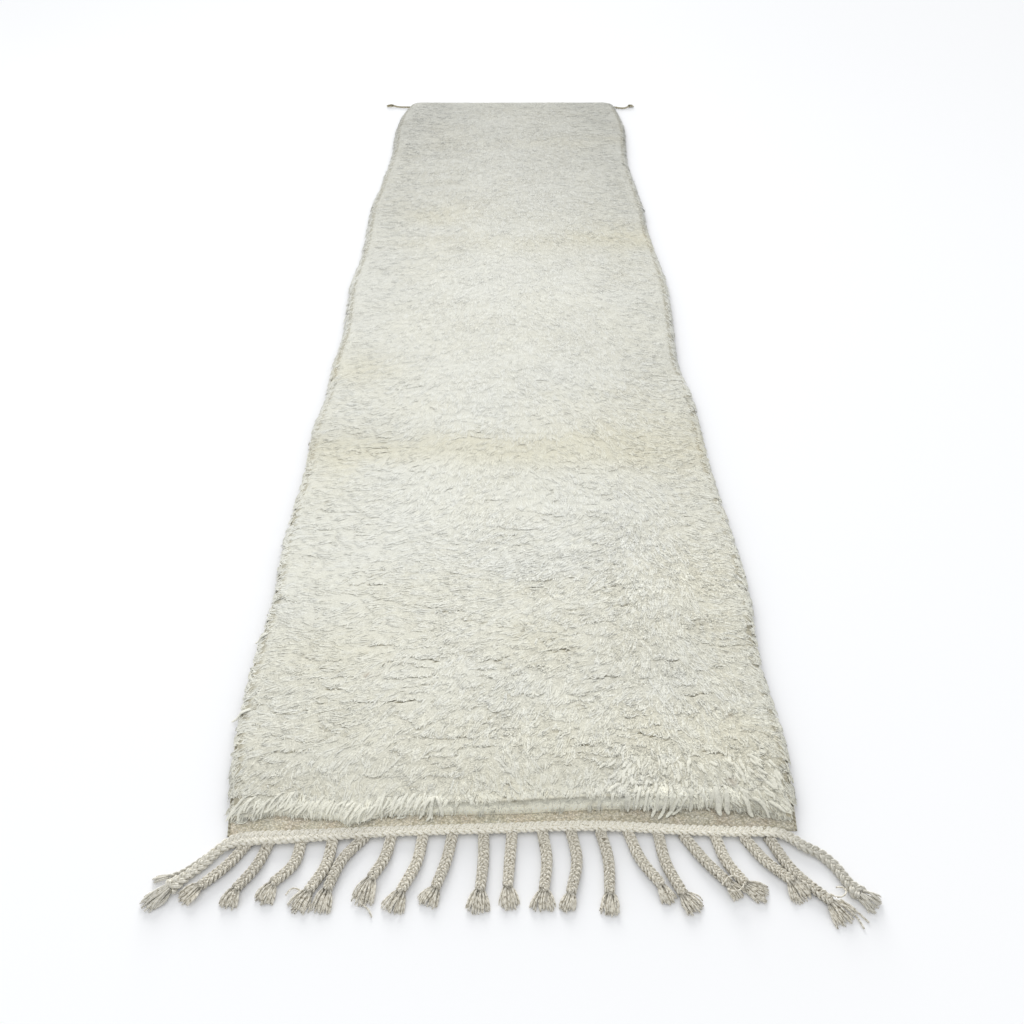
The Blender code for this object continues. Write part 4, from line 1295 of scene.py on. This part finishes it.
def makeHeading():
    rng = np.random.default_rng(81)
    left = inMetres(leftTail)
    right = inMetres(rightTail)[::-1]
    xs = np.linspace(cordStyle["left"], cordStyle["right"], 13)
    broad = cordStyle["width"] + 0.0045 * np.clip((-xs - 0.16) / 0.16, 0, 1)
    middle = np.stack([xs, cloth["frontY"] + frontLine(xs) + 0.64 * cordStyle["width"] - 0.2 * broad, broad,
                       np.full(13, cordStyle["height"])], -1)
    table = np.concatenate([left[2:], middle, right[:-2]])
    lift = np.concatenate([np.zeros(3), [0.0016], np.full(13, cordStyle["lift"]), [0.0016],
                           np.zeros(4)])
    stops = np.stack([table[:, 0], table[:, 1], lift + table[:, 3] / 2, table[:, 2], table[:, 3]], -1)
    rows, run = evenPath(stops, cordStyle["step"])
    path = rows[:, :3]
    width = rows[:, 3]
    height = rows[:, 4]
    inTail = np.clip((np.abs(path[:, 0]) - 0.340) / 0.050, 0, 1)
    paths, depths = plaitYarns(path, run, width + 0.0012, height, 0.0, cordStyle["pitch"])
    tone = rng.normal(2.6, 0.5, (len(paths), 1)) - (4.2 + 1.7 * np.sign(path[:, 0])) * inTail
    tone = tone - 1.6 * np.clip((-path[:, 0] - 0.10) / 0.10, 0, 1)
    thick = np.tile(cordStyle["yarnRadius"] * np.clip(width / cordStyle["width"], 1, 1.3), (len(paths), 1))
    groups = [tubeGroup(paths, thick, 5, chunks=20, capped=True, tone=np.repeat(tone, 5, axis=1),
                        depth=np.repeat(depths, 5, axis=1))]
    for tail in (left, right[::-1]):
        neck = tail[2, :2]
        tip = tail[0, :2]
        groups.append(yarnTuft(neck, tip - neck, np.linalg.norm(tip - neck), tail[1, 2] * 1.1, 16, rng,
                               (-2.2, 0.6), startHeight=0.0075, bunch=0.0055))
    strand = inMetres(leftStrand)
    stops = np.stack([strand[:, 0], strand[:, 1], 0.0005 + strand[:, 3] / 2, strand[:, 2], strand[:, 3]], -1)
    rows, run = evenPath(stops[2:], 0.0025)
    paths = twistedPlies(rows[:, :3], run, rows[:, 3] * 0.85, rows[:, 4], 2, 0.016, 0.0014)
    groups.append(tubeGroup(paths, np.full((2, len(run)), 0.0015), 5, chunks=3, capped=True,
                            tone=np.array([-3.2, -3.8]), along=(1.0, 1.0)))
    neck = strand[2, :2]
    groups.append(yarnTuft(neck, strand[0, :2] - neck, 0.019, 0.013, 6, rng, (-2.5, 0.5), startHeight=0.004,
                           radius=0.0012, bunch=0.002, rootDepth=0.2))
    piece = meshFrom("heading-cord", groups, creamWool)
    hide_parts("heading_cord")
    return piece


plaitStyle = {
    "width": 0.0155,
    "height": 0.0100,
    "pitch": 0.0210,  # one strand's full round; the V's show a third of it apart
    "yarns": 2,  # side by side in each of the three strands
    "yarnRadius": 0.00175,
    "step": 0.0017,
}

# root, lean, reach, bow, tuft, tuft lean, spread: one row for each plait, in millimetres
plaits = [
    (-346, -49, 60, 4, 27, -20, 29), (-318, -31, 66, 5, 25, -8, 29), (-276, -28, 61, 10, 27, -10, 31),
    (-235, -21, 73, 7, 30, -14, 34), (-193, -40, 74, -7, 29, -5, 30), (-158, -21, 60, 5, 36, -10, 34),
    (-116, -24, 80, 6, 28, -10, 36), (-77, -19, 76, 3, 26, -12, 32), (-36, -3, 80, 2, 30, -3, 36),
    (2, -6, 77, 0, 29, 3, 30), (42, 0, 84, 5, 26, -3, 38), (80, -4, 89, 8, 24, -7, 24),
    (119, 6, 89, 5, 28, -2, 30), (156, 36, 76, -6, 25, 9, 24), (196, 22, 86, -6, 27, 16, 33),
    (228, 51, 71, -3, 20, 12, 26), (271, 28, 69, -6, 30, 25, 32), (308, 51, 63, -5, 28, 10, 32),
    (341, 61, 90, -9, 31, 18, 44),
]

# yarns that have come loose from the last plaits' tufts: plan place and height, in millimetres
looseYarns = [
    [(412, -91, 6), (416, -97, 4), (429, -109, 2), (435, -125, 1.5)],
    [(414, -89, 7), (421, -94, 5), (433, -104, 2), (443, -117, 1.5)],
    [(403, -82, 7), (408, -88, 11), (415, -89, 13), (422, -82, 12), (420, -74, 9), (412, -73, 7)],
    [(268, -70, 8), (280, -60, 12), (291, -63, 13), (294, -74, 13), (284, -81, 12), (274, -76, 9)],
    [(-284, -80, 4), (-279, -71, 3), (-270, -71, 2), (-262, -80, 1.5)],
    [(-190, -90, 4), (-179, -98, 2), (-173, -108, 1.5)],
]


def plaitYarns(path, run, width, height, phase, pitch):
    # three strands over and under each other, each of yarns that lie side by side
    side, up = levelFrame(path)
    up = up * np.sign(up[:, 2:3])
    radius = plaitStyle["yarnRadius"]
    strandHalf = radius * plaitStyle["yarns"] * 0.92
    found = []
    depths = []
    for k in range(3):
        angle = 2 * math.pi * (run / pitch + k / 3) + phase
        out = np.sin(angle) * (width / 2 - strandHalf * 0.95)
        high = np.sin(2 * angle) * (height / 2 - radius) * 0.85
        centre = path + side * out[:, None] + up * high[:, None]
        tangent = unit(np.gradient(centre, axis=0))
        beside = unit(np.cross(tangent, up))
        for n in range(plaitStyle["yarns"]):
            share = n - (plaitStyle["yarns"] - 1) / 2
            crown = radius * 0.5 * (1 - abs(share))
            found.append(centre + beside * share * radius * 1.75 + up * crown)
            # painted shade: a strand is darker where it dives under the others
            depths.append(0.5 + 0.5 * np.sin(2 * angle))
    return np.array(found), np.array(depths)


def makeFringe():
    rng = np.random.default_rng(91)
    groups = []
    for number, row in enumerate(plaits):
        root, lean, reach, bow, tuftLength, tuftLean, spread = np.array(row) * mm
        start = np.array([root, cloth["frontY"] + frontLine(root) + 0.0015])
        neck = np.array([root + lean, cloth["frontY"] + frontLine(root) - 0.0012 - reach])
        direction = unit(neck - start)
        middle = (start + neck) / 2 + np.array([-direction[1], direction[0]]) * bow
        half = plaitStyle["height"] / 2
        stops = [(*start, half * 0.75), (*middle, half), (*neck, half)]
        rows, run = evenPath(stops, plaitStyle["step"])
        width = plaitStyle["width"] * (1.0 - 0.10 * np.linspace(0, 1, len(run)) ** 3)
        height = np.full(len(run), plaitStyle["height"])
        paths, depths = plaitYarns(rows, run, width, height, number * 1.3, plaitStyle["pitch"])
        paths[..., 2] = np.maximum(paths[..., 2], plaitStyle["yarnRadius"])
        tone = np.repeat(rng.normal(0, 0.5), len(paths)) + rng.normal(0, 0.4, len(paths))
        radii = np.full((len(paths), len(run)), plaitStyle["yarnRadius"])
        groups.append(tubeGroup(paths, radii, 6, chunks=4, capped=True, tone=tone,
                                depth=np.repeat(depths, 6, axis=1)))
        along = np.array([tuftLean, -math.sqrt(tuftLength**2 - tuftLean**2)])
        groups.append(yarnTuft(neck + unit(neck - middle) * -0.001, along, tuftLength, spread,
                               16 + number % 3, rng, (0.9, 0.6), radius=0.0012))
    for yarn in looseYarns:
        stops = np.array(yarn, float) * mm + np.array([0.0, cloth["frontY"], 0.0])
        rows, run = evenPath(stops, 0.0035)
        groups.append(tubeGroup(rows[None, :, :3], np.full((1, len(run)), 0.0011), 5, capped=True,
                                tone=np.full(1, 0.6), along=(1.0, 1.0)))
    piece = meshFrom("fringe-plaits", groups, plaitWool)
    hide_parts("fringe")
    return piece


backStyle = {"size": 0.007, "left": -0.360, "right": 0.378, "pitch": 0.013, "ply": 0.0018}


def makeBackCord():
    rng = np.random.default_rng(101)
    y = cloth["frontY"] + cloth["length"] - backStyle["size"] / 2
    xs = np.linspace(backStyle["left"], backStyle["right"], 9)
    run = np.stack([xs, np.full(9, y), np.full(9, backStyle["size"]), np.full(9, backStyle["size"])], -1)
    left = inMetres(backLeftTail)
    right = inMetres(backRightTail)
    table = np.concatenate([left[2:], run, right[::-1][:-2]])
    stops = np.stack([table[:, 0], table[:, 1], table[:, 3] / 2, table[:, 2], table[:, 3]], -1)
    rows, run = evenPath(stops, 0.0035)
    ply = backStyle["ply"]
    paths = twistedPlies(rows[:, :3], run, np.full(len(run), backStyle["size"]),
                         np.full(len(run), backStyle["size"]), 2, backStyle["pitch"], ply)
    groups = [tubeGroup(paths, np.full((2, len(run)), ply), 5, chunks=24, capped=True, along=(1.0, 1.0))]
    for tail in (left, right):
        neck = tail[2, :2]
        groups.append(yarnTuft(neck, tail[0, :2] - neck, 0.024, 0.017, 8, rng, (0.6, 0.6),
                               startHeight=0.0075, radius=0.0014, bunch=0.004))
    wool = yarnWool("twisted olive-brown wool", [(0.0, "#6B6348"), (0.45, "#A39A7C"), (1.0, "#CDC5AA")],
                    0.005, 0.007, 0.003, "#6A5A48", 0.62)
    piece = meshFrom("back-cord", groups, wool)
    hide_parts("back_cord")
    return piece


headingCord = makeHeading()
fringe = makeFringe()
backCord = makeBackCord()
print("cords and fringe made")
